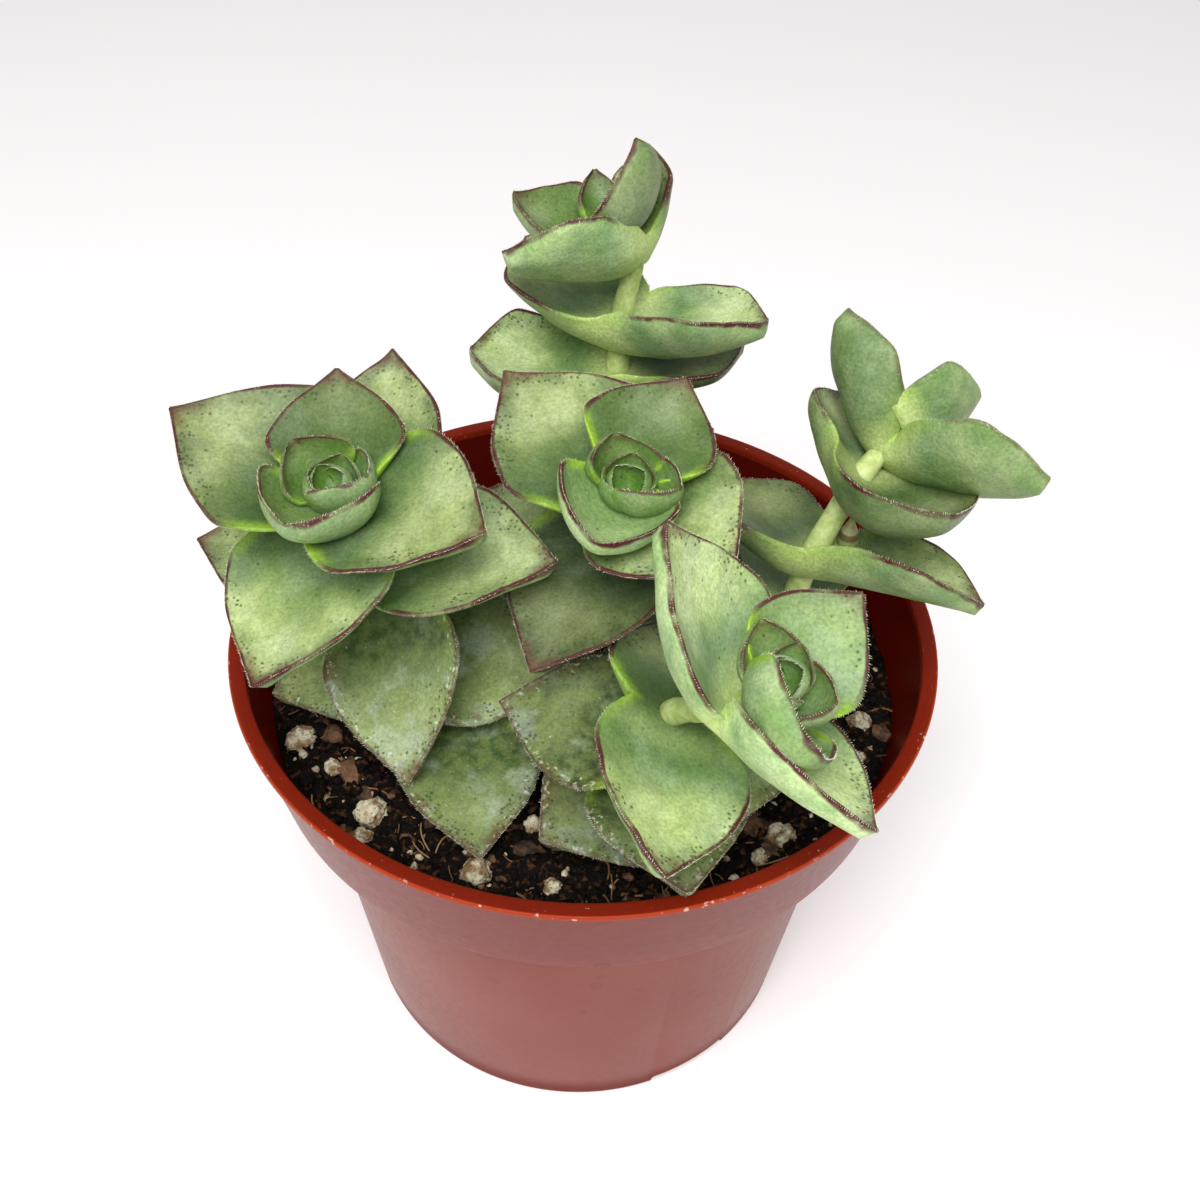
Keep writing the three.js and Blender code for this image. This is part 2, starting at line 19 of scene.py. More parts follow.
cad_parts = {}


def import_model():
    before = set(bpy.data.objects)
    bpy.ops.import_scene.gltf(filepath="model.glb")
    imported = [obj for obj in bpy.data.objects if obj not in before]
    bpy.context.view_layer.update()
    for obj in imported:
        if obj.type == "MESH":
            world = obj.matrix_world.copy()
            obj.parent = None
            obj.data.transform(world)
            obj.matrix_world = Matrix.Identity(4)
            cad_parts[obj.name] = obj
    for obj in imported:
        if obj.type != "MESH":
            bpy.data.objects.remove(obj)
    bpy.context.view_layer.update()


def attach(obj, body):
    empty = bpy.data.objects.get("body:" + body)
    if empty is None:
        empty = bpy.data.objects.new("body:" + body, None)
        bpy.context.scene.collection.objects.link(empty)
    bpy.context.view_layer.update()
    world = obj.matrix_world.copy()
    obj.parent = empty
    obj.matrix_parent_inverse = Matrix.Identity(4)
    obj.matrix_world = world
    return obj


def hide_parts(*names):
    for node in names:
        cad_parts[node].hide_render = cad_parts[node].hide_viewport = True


LOG = logging.getLogger("string_of_buttons")

MM = 0.001  # metres in a millimetre
FULL_TURN = 2 * math.pi
BODY = "root"
LEAF_MAPS = ("along", "margin_mm", "upper", "age", "tone", "blush", "paleness")

Point = tuple[float, float, float]
Faces = list[tuple[int, ...]]
Rails = list[tuple[np.ndarray, np.ndarray]]  # points along leaf margins and their outward directions
Mesh = bpy.types.Mesh
Node = bpy.types.Node
Socket = bpy.types.NodeSocket
Material = bpy.types.Material


# ------------------------------------------------------------------ small helpers


def linear(colour: str) -> tuple[float, float, float, float]:
    """Turns an sRGB hex colour into the linear colour that Blender's sockets take.

    Args:
        colour: six hex digits, such as "8fa873".

    Returns:
        Linear red, green, blue and an alpha of 1.
    """
    channels = []
    for start in (0, 2, 4):
        value = int(colour[start : start + 2], 16) / 255
        channels.append(value / 12.92 if value <= 0.04045 else ((value + 0.055) / 1.055) ** 2.4)
    return (channels[0], channels[1], channels[2], 1.0)


def add_node(
    tree: bpy.types.NodeTree, kind: str, links: dict[str | int, object] | None = None, **settings: object
) -> Node:
    """Adds a node with its settings and its inputs.

    Args:
        tree: the shader or geometry tree that the node goes into.
        kind: the node's type name.
        links: by input name or number, its value, or the output or the node that feeds it.
        settings: the node's own properties.

    Returns:
        The new node.
    """
    node = tree.nodes.new(kind)
    for name, value in settings.items():
        setattr(node, name, value)
    for key, value in (links or {}).items():
        source = value.outputs[0] if isinstance(value, Node) else value
        if isinstance(source, Socket):
            tree.links.new(source, node.inputs[key])
        else:
            node.inputs[key].default_value = source
    return node


def new_object(name: str, data: bpy.types.ID) -> bpy.types.Object:
    """Puts a mesh, a camera or a lamp into the scene."""
    made = bpy.data.objects.new(name, data)
    bpy.context.scene.collection.objects.link(made)
    return made


def new_piece(name: str, mesh: Mesh, replaced: str) -> None:
    """Shows a finished mesh as a piece of the part.

    Args:
        name: the piece's name.
        mesh: the mesh, in metres, with its place in it.
        replaced: the frame's node that it dresses.
    """
    piece = new_object(name, mesh)
    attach(piece, BODY)
    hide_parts(replaced)
    LOG.info("%s: %d faces", name, len(mesh.polygons))


def mesh_from(name: str, points: np.ndarray, faces: Faces) -> Mesh:
    """Makes a smooth mesh, in metres, from points in millimetres.

    Args:
        name: the mesh's name.
        points: an array of shape (count, 3).
        faces: for each face, the numbers of its points.

    Returns:
        The mesh.
    """
    mesh = bpy.data.meshes.new(name)
    mesh.from_pydata((points * MM).tolist(), [], faces)
    mesh.validate()
    mesh.polygons.foreach_set("use_smooth", [True] * len(mesh.polygons))
    mesh.update()
    return mesh


def mesh_of(shape: bmesh.types.BMesh, name: str) -> Mesh:
    """Turns a shape under way into a mesh and frees the shape."""
    mesh = bpy.data.meshes.new(name)
    shape.to_mesh(mesh)
    shape.free()
    return mesh


def ring_faces(rings: int, sides: int, first: int = 0, turned: bool = False) -> Faces:
    """Gives the four-sided faces between closed rings of points whose numbers run on.

    Args:
        rings: how many rings there are.
        sides: how many points each ring has.
        first: the number of the first ring's first point.
        turned: whether the faces look the other way.

    Returns:
        The faces.
    """
    faces: Faces = []
    for start in range(first, first + (rings - 1) * sides, sides):
        for side in range(sides):
            near, far = start + side, start + (side + 1) % sides
            face = (near, near + sides, far + sides, far)
            faces.append(face[:1] + face[:0:-1] if turned else face)
    return faces


def plain_mesh(carrier: bpy.types.Object, name: str) -> Mesh:
    """Turns an object with modifiers into a plain mesh and removes the object.

    Args:
        carrier: the object that carries the modifiers.
        name: the new mesh's name.

    Returns:
        The mesh that its modifiers make.
    """
    graph = bpy.context.evaluated_depsgraph_get()
    evaluated = carrier.evaluated_get(graph)
    mesh = bpy.data.meshes.new_from_object(evaluated, preserve_all_data_layers=True, depsgraph=graph)
    mesh.name = name
    carrier.modifiers.clear()
    bpy.data.objects.remove(carrier)
    return mesh


class Growth:
    """A geometry tree under way, with named inputs, that grows many small shapes."""

    def __init__(self, name: str, **sizes: float) -> None:
        """Starts the tree.

        Args:
            name: the name of the mesh that it grows.
            sizes: its inputs by name, with lengths in millimetres. "Seed" is a whole number.
        """
        self.name = name
        self.sizes = sizes
        self.tree = bpy.data.node_groups.new(name + "_tree", "GeometryNodeTree")
        for side in ("INPUT", "OUTPUT"):
            self.tree.interface.new_socket("Geometry", in_out=side, socket_type="NodeSocketGeometry")
        for label, value in sizes.items():
            kind = "NodeSocketInt" if label == "Seed" else "NodeSocketFloat"
            socket = self.tree.interface.new_socket(label, in_out="INPUT", socket_type=kind)
            socket.default_value = value
        self.given = self.add("NodeGroupInput").outputs

    def add(self, kind: str, links: dict[str | int, object] | None = None, **settings: object) -> Node:
        """Adds a node to this tree."""
        return add_node(self.tree, kind, links, **settings)

    def metres(self, label: str) -> Node:
        """Gives one of the inputs, which is in millimetres, in metres."""
        return self.add("ShaderNodeMath", {0: self.given[label], 1: MM}, operation="MULTIPLY")

    def scattered(self, shape: Node, lean: float, scale: Node | Socket) -> Node:
        """Scatters a shape over the base by the inputs "Density" and "Seed", turned by chance.

        Args:
            shape: the shape.
            lean: how far it may tip either way, in radians.
            scale: its scale.

        Returns:
            The node of all its copies.
        """
        density = self.add("ShaderNodeMath", {0: self.given["Density"], 1: 1 / MM**2}, operation="MULTIPLY")
        base, seed = self.given["Geometry"], self.given["Seed"]
        places = {"Mesh": base, "Density": density, "Seed": seed}
        spots = self.add("GeometryNodeDistributePointsOnFaces", places)
        turns = {"Min": (-lean, -lean, 0.0), "Max": (lean, lean, FULL_TURN), "Seed": seed}
        turn = self.add("FunctionNodeRandomValue", turns, data_type="FLOAT_VECTOR")
        copies = {"Points": spots, "Instance": shape, "Rotation": turn, "Scale": scale}
        return self.add("GeometryNodeInstanceOnPoints", copies)

    def grown(self, base: Mesh, made: Node, finish: Material) -> Mesh:
        """Ends the tree and runs it: its copies are made real and get their material.

        Args:
            base: the mesh that the tree works on.
            made: the node that holds what it made.
            finish: the material of what it made.

        Returns:
            The plain mesh.
        """
        real = self.add("GeometryNodeRealizeInstances", {0: made})
        painted = self.add("GeometryNodeSetMaterial", {0: real, "Material": finish})
        self.add("NodeGroupOutput", {0: painted})
        carrier = new_object(self.name + "_base", base)
        modifier = carrier.modifiers.new("grow", "NODES")
        modifier.node_group = self.tree
        for item in self.tree.interface.items_tree:
            if item.item_type == "SOCKET" and item.in_out == "INPUT" and item.name in self.sizes:
                modifier[item.identifier] = self.sizes[item.name]
        return plain_mesh(carrier, self.name)


class Paint:
    """A material under way: its tree, its shader, its colour and its coordinates in millimetres."""

    def __init__(self, name: str, ground: str, roughness: float, ior: float, **sockets: object) -> None:
        """Starts a material.

        Args:
            name: the material's name.
            ground: its first colour, in hex digits.
            roughness: the main shader's roughness.
            ior: the main shader's index of refraction.
            sockets: other values of the main shader, with underscores for spaces.
        """
        self.material = bpy.data.materials.new(name)
        self.material.use_nodes = True
        self.tree = self.material.node_tree
        self.tree.nodes.clear()
        self.shader = add_node(self.tree, "ShaderNodeBsdfPrincipled", {"Roughness": roughness, "IOR": ior})
        for label, value in sockets.items():
            self.shader.inputs[label.replace("_", " ")].default_value = value
        add_node(self.tree, "ShaderNodeOutputMaterial", {"Surface": self.shader})
        coordinates = add_node(self.tree, "ShaderNodeTexCoord").outputs["Object"]
        links = {0: coordinates, 1: (1 / MM, 1 / MM, 1 / MM)}
        self.place = add_node(self.tree, "ShaderNodeVectorMath", links, operation="MULTIPLY")
        self.colour = add_node(self.tree, "ShaderNodeRGB").outputs[0]
        self.colour.default_value = linear(ground)

    def value(self, name: str) -> Socket:
        """Gives the output of one of the mesh's own number attributes."""
        return add_node(self.tree, "ShaderNodeAttribute", attribute_name=name).outputs["Fac"]

    def grain(self, size: float, detail: float = 2.0, seed: float = 0.0) -> Socket:
        """Gives soft noise from 0 to 1 with blotches so many millimetres apart."""
        links = {"Vector": self.place, "W": seed, "Scale": 1 / size, "Detail": detail, "Roughness": 0.55}
        return add_node(self.tree, "ShaderNodeTexNoise", links, noise_dimensions="4D").outputs["Fac"]

    def cells(self, size: float) -> bpy.types.NodeOutputs:
        """Gives the outputs of cells that are scattered so many millimetres apart."""
        links = {"Vector": self.place, "Scale": 1 / size}
        return add_node(self.tree, "ShaderNodeTexVoronoi", links).outputs

    def ramp(self, source: Socket, low: float, high: float, start: float = 0.0, end: float = 1.0) -> Socket:
        """Turns a range of a number smoothly into another range and holds it past both ends.

        Args:
            source: the number.
            low: where the range starts.
            high: where the range ends.
            start: the result where it starts.
            end: the result where it ends.

        Returns:
            The new number's output.
        """
        links = {"Value": source, "From Min": low, "From Max": high, "To Min": start, "To Max": end}
        node = add_node(self.tree, "ShaderNodeMapRange", links, interpolation_type="SMOOTHSTEP")
        return node.outputs["Result"]

    def maths(self, operation: str, first: object, second: object) -> Socket:
        """Joins two numbers, each an output or a value, by an operation such as "MULTIPLY"."""
        return add_node(self.tree, "ShaderNodeMath", {0: first, 1: second}, operation=operation).outputs[0]

    def product(self, *factors: object) -> object:
        """Multiplies several numbers, each an output or a value."""
        total = factors[0]
        for factor in factors[1:]:
            total = self.maths("MULTIPLY", total, factor)
        return total

    def blend(self, share: object, under: object, over: object) -> Socket:
        """Shows a share of a colour over another, each an output or hex digits."""
        low, high = (linear(one) if isinstance(one, str) else one for one in (under, over))
        links = {0: share, 6: low, 7: high}
        return add_node(self.tree, "ShaderNodeMix", links, data_type="RGBA").outputs[2]

    def lay(self, over: object, *shares: object) -> None:
        """Lays a colour over the material's own, as much of it as the product of the shares."""
        self.colour = self.blend(self.product(*shares), self.colour, over)

    def lighten(self, level: Socket) -> None:
        """Makes the colour lighter or darker by a level, which is 1 where it stays as it is."""
        links = {0: self.colour, "Scale": level}
        self.colour = add_node(self.tree, "ShaderNodeVectorMath", links, operation="SCALE").outputs[0]

    def shade(self, grain: Socket, amount: float) -> None:
        """Makes the colour lighter and darker by a grain, by this share at the most."""
        self.lighten(self.ramp(grain, 0.25, 0.75, 1 - amount, 1 + amount))

    def raised(self, *layers: tuple[Socket, float]) -> None:
        """Adds relief.

        Args:
            layers: for each layer its grain and its height in millimetres.
        """
        below: dict[str, object] = {}
        for grain, height in layers:
            links = {"Height": grain, "Distance": height * MM, "Strength": 1.0, **below}
            below = {"Normal": add_node(self.tree, "ShaderNodeBump", links).outputs[0]}
        self.tree.links.new(below["Normal"], self.shader.inputs["Normal"])

    def done(self, roughness: Socket | None = None) -> Material:
        """Ends the material, with its roughness where that varies over the surface."""
        self.tree.links.new(self.colour, self.shader.inputs["Base Color"])
        if roughness is not None:
            self.tree.links.new(roughness, self.shader.inputs["Roughness"])
        return self.material


# ------------------------------------------------------------------ finishes


@dataclass(frozen=True)
class WaxyLeaf:
    """Live succulent skin: a green flesh under a thin wax that takes the gloss off it."""

    inner: str = "4d6c36"  # deeper green near the stem, partly painted shade from the leaves above
    outer: str = "98a868"  # yellow green in the outer half
    pale: str = "bccb92"  # soft light patches
    deep: str = "4c6034"  # olive along the margins, and painted shade near the stem
    lower: str = "6f9152"
    lower_pale: str = "98ad74"
    bloom: str = "a7b5a2"  # the grey wax itself
    lime: str = "96bc3a"  # the margin near the stem, partly painted light through the thin edge
    base: str = "c2d286"  # where a loose leaf leaves the stem
    young: str = "5c783a"
    heart: str = "48701f"  # the smallest leaves in a rosette
    speck: str = "3d4c22"
    margin: str = "4e2222"
    flush: str = "5c3a2c"  # reddish tips
    tired: str = "74834c"  # old leaves
    scorch: str = "6d5a38"
    crust: str = "c4c6b0"
    # painted glints on the margin's papillae
    sparkle: str = "e6e0d4"
    grain_size: float = 0.26  # the real papillae are half as far apart, too fine to show
    patch_size: float = 4.2
    speck_spacing: float = 0.4
    margin_width: float = 0.3

    def material(self) -> Material:
        """Paints the leaf from its own maps of age, place along it and distance to its margin."""
        paint = Paint(
            "waxy_succulent_leaf",
            self.inner,
            roughness=0.45,
            ior=1.42,
            Specular_IOR_Level=0.32,
            Subsurface_Weight=0.12,
            Subsurface_Radius=(0.5, 1.0, 0.2),
            Subsurface_Scale=MM,
        )
        ramp, grain, lay = paint.ramp, paint.grain, paint.lay
        along, margin, upper, age, tone, blush, paleness = map(paint.value, LEAF_MAPS)
        patches = grain(self.patch_size)
        mottle = grain(1.1, detail=4, seed=3)
        pores = grain(self.grain_size, seed=5)
        beneath = paint.maths("SUBTRACT", 1.0, upper)
        old = ramp(age, 0.6, 1.0)

        # Flesh: deeper green near the stem, partly painted shade, yellower outwards, with soft light
        # patches.
        lay(self.outer, ramp(paint.maths("ADD", along, paint.product(patches, 0.4)), 0.42, 0.88))
        lay(self.pale, ramp(patches, 0.36, 0.72), ramp(along, 0.38, 0.66, 0.04, 0.66), upper)
        shade = ramp(grain(3.2, detail=3, seed=15), 0.38, 0.62)
        lay(self.deep, shade, ramp(margin, 3.6, 0.4, 0.0, 0.62), ramp(along, 0.2, 0.6), upper)
        lay(self.young, ramp(age, 0.42, 0.31), ramp(along, 1.15, 0.3, 0.35, 0.85), upper)
        lay(self.heart, ramp(age, 0.22, 0.08), ramp(along, 1.0, 0.2, 0.4, 0.9))
        lay(paint.blend(ramp(patches, 0.35, 0.65), self.lower, self.lower_pale), beneath, 0.85)
        lay(self.bloom, ramp(grain(5.5, seed=22), 0.45, 0.62), 0.16)

        # Near the stem: painted shade on crowded mature leaves, pale on loose ones. Then each leaf's own
        # paleness.
        airy = paint.maths("MAXIMUM", ramp(age, 0.49, 0.46), ramp(paleness, 0.6, 0.7))
        lay(self.deep, paint.maths("SUBTRACT", 1.0, airy), ramp(along, 0.55, 0.1, 0.0, 0.62), upper)
        lay(self.base, airy, ramp(age, 0.36, 0.42), ramp(along, 0.3, 0.03), 0.75)
        lay(self.bloom, ramp(paleness, 0.5, 1.0, 0.0, 0.1))
        paint.lighten(ramp(paleness, 0.0, 1.0, 0.42, 1.5))

        # Old leaves: browner, with patches of pale bloom and of a dry crust by the margin.
        lay(self.tired, old, ramp(mottle, 0.35, 0.62), 0.65)
        lay(self.bloom, ramp(grain(3.5, detail=3, seed=24), 0.5, 0.66), old, 0.45)
        lay(self.scorch, ramp(grain(2.2, detail=3, seed=17), 0.5, 0.66), ramp(margin, 2.5, 0.3), old, 0.75)
        flaky = paint.maths("ADD", grain(0.5, detail=4, seed=12), ramp(margin, 1.8, 0.2, -0.06, 0.07))
        lay(self.crust, ramp(flaky, 0.6, 0.66), old, 0.8)

        # Dark specks, crowded along the outer margins and at the tip.
        gaps = ramp(grain(2.6, seed=27), 0.36, 0.58)
        outer_margin = paint.product(ramp(margin, 3.0, 0.7), ramp(along, 0.3, 0.7), gaps)
        band = paint.product(outer_margin, ramp(age, 0.15, 0.48), upper)
        dots = paint.cells(self.speck_spacing)
        crowd = paint.maths("ADD", dots["Color"], paint.product(band, 0.82))
        lay(self.speck, ramp(dots["Distance"], 0.42, 0.26), ramp(crowd, 0.84, 0.94), 0.74, upper)

        # Margins: lime near the stem, brightened as painted light through the thin edge, dark purple brown
        # from there to the tip.
        rim = paint.maths("ADD", margin, ramp(grain(2.0, seed=9), 0.25, 0.75, -0.1, 0.1))
        rim = paint.maths("ADD", rim, paint.product(beneath, 0.14))
        rim = paint.product(rim, ramp(age, 0.0, 0.35, 2.0, 1.0))
        edge = ramp(rim, self.margin_width + 0.14, self.margin_width - 0.12)
        outer_part = ramp(paint.maths("ADD", along, paint.product(tone, 0.25)), 0.3, 0.5)
        glow = paint.product(ramp(margin, 1.5, 0.1), paint.maths("SUBTRACT", 1.0, outer_part))
        dimmed = ramp(paint.product(airy, ramp(age, 0.36, 0.42)), 0.0, 1.0, 1.0, 0.4)
        lay(self.lime, glow, dimmed, ramp(age, 0.6, 0.3, 0.6, 1.0), ramp(age, 0.05, 0.3, 0.3, 1.0))
        uneven = ramp(grain(1.3, detail=3, seed=44), 0.36, 0.56, 0.35, 0.85)
        lay(self.flush, ramp(along, 0.74, 0.96), ramp(margin, 2.4, 0.2), uneven, upper, blush)
        lay(self.margin, edge, outer_part, blush, ramp(grain(3.0, seed=31), 0.3, 0.55, 0.5, 1.0))
        # Painted glints on the papillae along the margin.
        sparks = paint.product(ramp(paint.cells(0.24)["Distance"], 0.3, 0.16), ramp(margin, 0.3, 0.1))
        strewn = ramp(grain(1.6, seed=41), 0.42, 0.62, 0.05, 0.5)
        lay(self.sparkle, sparks, strewn, ramp(age, 0.1, 0.4, 0.3, 1.0))

        for unevenness, amount in ((pores, 0.2), (mottle, 0.1), (tone, 0.05)):
            paint.shade(unevenness, amount)
        paint.raised((grain(1.5, detail=3, seed=30), 0.12), (pores, 0.05))
        return paint.done(ramp(patches, 0.2, 0.8, 0.4, 0.55))


@dataclass(frozen=True)
class StemSkin:
    """Young succulent stem: juicy and pale, smoother than the leaf."""

    fresh: str = "c8d492"
    shade: str = "a4b868"
    corky: str = "8d7d55"

    def material(self) -> Material:
        """Paints the stem pale green with a corky foot."""
        paint = Paint(
            "succulent_stem_skin",
            self.fresh,
            roughness=0.45,
            ior=1.4,
            Subsurface_Weight=0.15,
            Subsurface_Radius=(0.8, 1.0, 0.3),
            Subsurface_Scale=MM,
        )
        height = add_node(paint.tree, "ShaderNodeSeparateXYZ", {0: paint.place}).outputs["Z"]
        paint.lay(self.shade, paint.ramp(paint.grain(0.8, detail=3), 0.3, 0.7))
        paint.lay(self.corky, paint.ramp(height, 48, 42))
        streaks = paint.grain(0.3, seed=4)
        paint.shade(streaks, 0.08)
        paint.raised((streaks, 0.03))
        return paint.done()


@dataclass(frozen=True)
class RestingBud:
    """A side bud at rest: a pale waxy cone with one dry brown scale round its foot."""

    foot: str = "8f9a58"
    pale: str = "b9b884"
    scale: str = "5a4426"

    def material(self) -> Material:
        """Paints the bud by its own map of height."""
        paint = Paint("resting_side_bud", self.foot, roughness=0.5, ior=1.4)
        along = paint.value("along")
        grain = paint.grain(0.3, seed=2)
        paint.lay(self.pale, paint.ramp(along, 0.3, 0.5))
        paint.lay(self.scale, paint.ramp(along, 0.3, 0.36), paint.ramp(along, 0.56, 0.5), 0.85)
        paint.shade(grain, 0.12)
        paint.raised((grain, 0.04))
        return paint.done()


@dataclass(frozen=True)
class Papilla:
    """The fine pale hairs that fringe a leaf's margin: clear, slightly glassy cones."""

    pale: str = "dcdcc4"
    green: str = "b9c98c"

    def material(self) -> Material:
        """Paints the fringe pale."""
        paint = Paint("clear_margin_papilla", self.pale, roughness=0.35, ior=1.4, Subsurface_Weight=0.2)
        paint.lay(self.green, paint.grain(2.0))
        return paint.done()


@dataclass(frozen=True)
class MouldedPot:
    """Injection moulded polypropylene, dyed red brown: a smooth skin, handled and rained on."""

    pot: NurseryPot
    lip: str = "6c1a0a"
    lip_edge: str = "a43418"  # the thin outer edge lets light through
    wall: str = "6e2217"
    # painted shade on the inner face
    inside: str = "3c0b06"
    haze_and_floor_reflection: str = "884639"  # dried water and fine scuffs, and on the body a painted reflection of the white floor
    stain: str = "561108"
    dust: str = "d8b8a8"
    drop_spacing: float = 4.4

    def material(self) -> Material:
        """Paints the pot clear at the lip and hazier on its wall, with a painted floor reflection and dried
        drops.
        """
        paint = Paint("moulded_polypropylene", self.wall, roughness=0.3, ior=1.49, Subsurface_Weight=0.04)
        ramp, grain, lay, pot = paint.ramp, paint.grain, paint.lay, self.pot
        place = add_node(paint.tree, "ShaderNodeSeparateXYZ", {0: paint.place}).outputs
        height = place["Z"]
        flat = add_node(paint.tree, "ShaderNodeCombineXYZ", {0: place["X"], 1: place["Y"]})
        length = add_node(paint.tree, "ShaderNodeVectorMath", {0: flat}, operation="LENGTH")
        radius = length.outputs["Value"]
        cloud = grain(16.0, detail=1)
        scuff = grain(0.7, detail=3, seed=2)
        # The haze: dried water and scuffs; on the body below the collar it is also a painted reflection of
        # the white floor.
        lay(self.haze_and_floor_reflection, ramp(cloud, 0.3, 0.75, 0.55, 0.95), ramp(height, 36.0, 33.0, 0.12, 1.0))

        # The foot is rubbed clean, and it mirrors less.
        lay(self.lip, ramp(height, 4.2, 1.4, 0.0, 0.85))
        paint.tree.links.new(ramp(height, 1.0, 4.2, 0.02, 0.08), paint.shader.inputs["Specular IOR Level"])

        # Dried drops: soft darker spots with a darker ring, in loose groups.
        drops = paint.cells(self.drop_spacing)["Distance"]
        wet = paint.product(ramp(grain(11.0, seed=6), 0.34, 0.48), ramp(height, 33.0, 36.0, 0.3, 1.0))
        lay(self.stain, ramp(drops, 0.17, 0.13), wet, 0.45)
        ring = paint.maths("ABSOLUTE", paint.maths("SUBTRACT", drops, 0.16), 0.0)
        lay(self.stain, ramp(ring, 0.025, 0.0), wet, 0.65)

        # The lip: clear, with painted light through its thin outer edge, where it is frayed, and dusty.
        lip_foot = pot.height - pot.lip_depth
        top = ramp(height, lip_foot - 0.25, lip_foot)
        lay(self.lip, top)
        outermost = ramp(radius, pot.rim_radius - 0.22, pot.rim_radius - 0.06)
        lay(self.lip_edge, top, outermost, 0.8)
        lay(self.dust, ramp(grain(0.35, detail=3, seed=8), 0.68, 0.74), top, 0.5)
        lay(self.dust, ramp(grain(0.8, detail=4, seed=11), 0.6, 0.66), top, outermost, 0.7)

        # The inner face, in painted shade: nearer to the axis than the outer face is at that height.
        step = pot.collar_foot_height
        outside = ramp(height, 0.0, step, pot.foot_radius, pot.body_top)
        shelf = ramp(height, step - 0.5, step, 0.0, pot.collar_foot - pot.body_top)
        collar = ramp(height, step, lip_foot, 0.0, pot.collar_top - pot.collar_foot)
        outside = paint.maths("ADD", paint.maths("ADD", outside, shelf), collar)
        inward = ramp(paint.maths("SUBTRACT", outside, radius), 0.4, 0.7)
        lay(self.inside, inward, paint.maths("SUBTRACT", 1.0, top))
        paint.shade(scuff, 0.02)
        paint.raised((cloud, 0.05))
        return paint.done(ramp(scuff, 0.3, 0.7, 0.28, 0.34))


@dataclass(frozen=True)
class MoistPeat:
    """Moist peat: near black, crumbly, with brown flecks of bark."""

    dark: str = "0b0705"
    brown: str = "4c301b"

    def material(self) -> Material:
        """Paints the peat."""
        paint = Paint("moist_peat", self.dark, roughness=0.85, ior=1.35, Specular_IOR_Level=0.2)
        crumbs = paint.grain(0.7, detail=5)
        paint.lay(self.brown, paint.ramp(crumbs, 0.53, 0.66))
        paint.shade(paint.grain(0.25, seed=4), 0.25)
        paint.raised((crumbs, 0.5), (paint.grain(0.25, detail=3, seed=6), 0.15))
        return paint.done(paint.ramp(crumbs, 0.3, 0.7, 0.55, 0.95))


@dataclass(frozen=True)
class PineBark:
    """Composted pine bark: brown chips with a woody grain and darker, wet faces."""

    wood: str = "6e4c31"
    wet: str = "2c1b10"

    def material(self) -> Material:
        """Paints the chips."""
        paint = Paint("composted_pine_bark", self.wood, roughness=0.8, ior=1.45)
        streaks = paint.grain(0.45, detail=4, seed=7)
        paint.lay(self.wet, paint.ramp(paint.grain(1.4, detail=3, seed=1), 0.35, 0.62))
        paint.shade(streaks, 0.35)
        paint.raised((streaks, 0.2))
        return paint.done()


@dataclass(frozen=True)
class CoirFibre:
    """Dry brown plant fibre."""

    brown: str = "6b4a2e"
    straw: str = "94734b"

    def material(self) -> Material:
        """Paints the fibres in two browns."""
        paint = Paint("dry_plant_fibre", self.brown, roughness=0.7, ior=1.45)
        paint.lay(self.straw, paint.ramp(paint.grain(3.0), 0.4, 0.6))
        return paint.done()


@dataclass(frozen=True)
class ExpandedPerlite:
    """Perlite: white volcanic glass puffed into a chalky, pitted froth, stained by the peat."""

    white: str = "cbbd9f"
    stain: str = "7a5c38"
    pit: str = "5c4a36"
    pit_spacing: float = 0.35

    def material(self) -> Material:
        """Paints the perlite."""
        paint = Paint("expanded_perlite", self.white, roughness=0.75, ior=1.5, Subsurface_Weight=0.1)
        paint.lay(self.stain, paint.ramp(paint.grain(1.2, detail=4), 0.42, 0.62))
        pits = paint.cells(self.pit_spacing)["Distance"]
        paint.lay(self.pit, paint.ramp(pits, 0.36, 0.12, 0.0, 0.8))
        paint.raised((pits, 0.12), (paint.grain(0.15, seed=3), 0.05))
        return paint.done()


@dataclass(frozen=True)
class StudioPaper:
    """Matt white paper that the pot stands on, lit a little from behind."""

    white: str = "f2eeed"
    glow: float = 0.12

    def material(self) -> Material:
        """Paints the paper."""
        paint = Paint("matt_white_paper", self.white, roughness=0.9, ior=1.45, Emission_Strength=self.glow)
        paint.shader.inputs["Emission Color"].default_value = linear(self.white)
        paint.shade(paint.grain(60.0), 0.004)
        return paint.done()


# ------------------------------------------------------------------ camera and studio


@dataclass(frozen=True)
class StudioCamera:
    """A hand-held camera, a little above the plant and close to it."""

    place: Point = (-3.25, -92.17, 136.92)
    forward: Point = (0.03594, 0.7265, -0.68622)
    right: Point = (0.99935, -0.02486, 0.02602)
    upward: Point = (-0.00184, 0.68671, 0.72692)
    lens: float = 41.58
    sensor: float = 36.0
    nearest: float = 5.0
    farthest: float = 20000.0

    def build(self) -> None:
        """Places the camera and makes it the scene's camera."""
        data = bpy.data.cameras.new("studio_camera")
        data.lens = self.lens
        data.sensor_width = self.sensor
        data.clip_start = self.nearest * MM
        data.clip_end = self.farthest * MM
        camera = new_object("studio_camera", data)
        turn = Matrix((self.right, self.upward, [-part for part in self.forward])).transposed()
        camera.matrix_world = Matrix.Translation(Vector(self.place) * MM) @ turn.to_4x4()
        bpy.context.scene.camera = camera


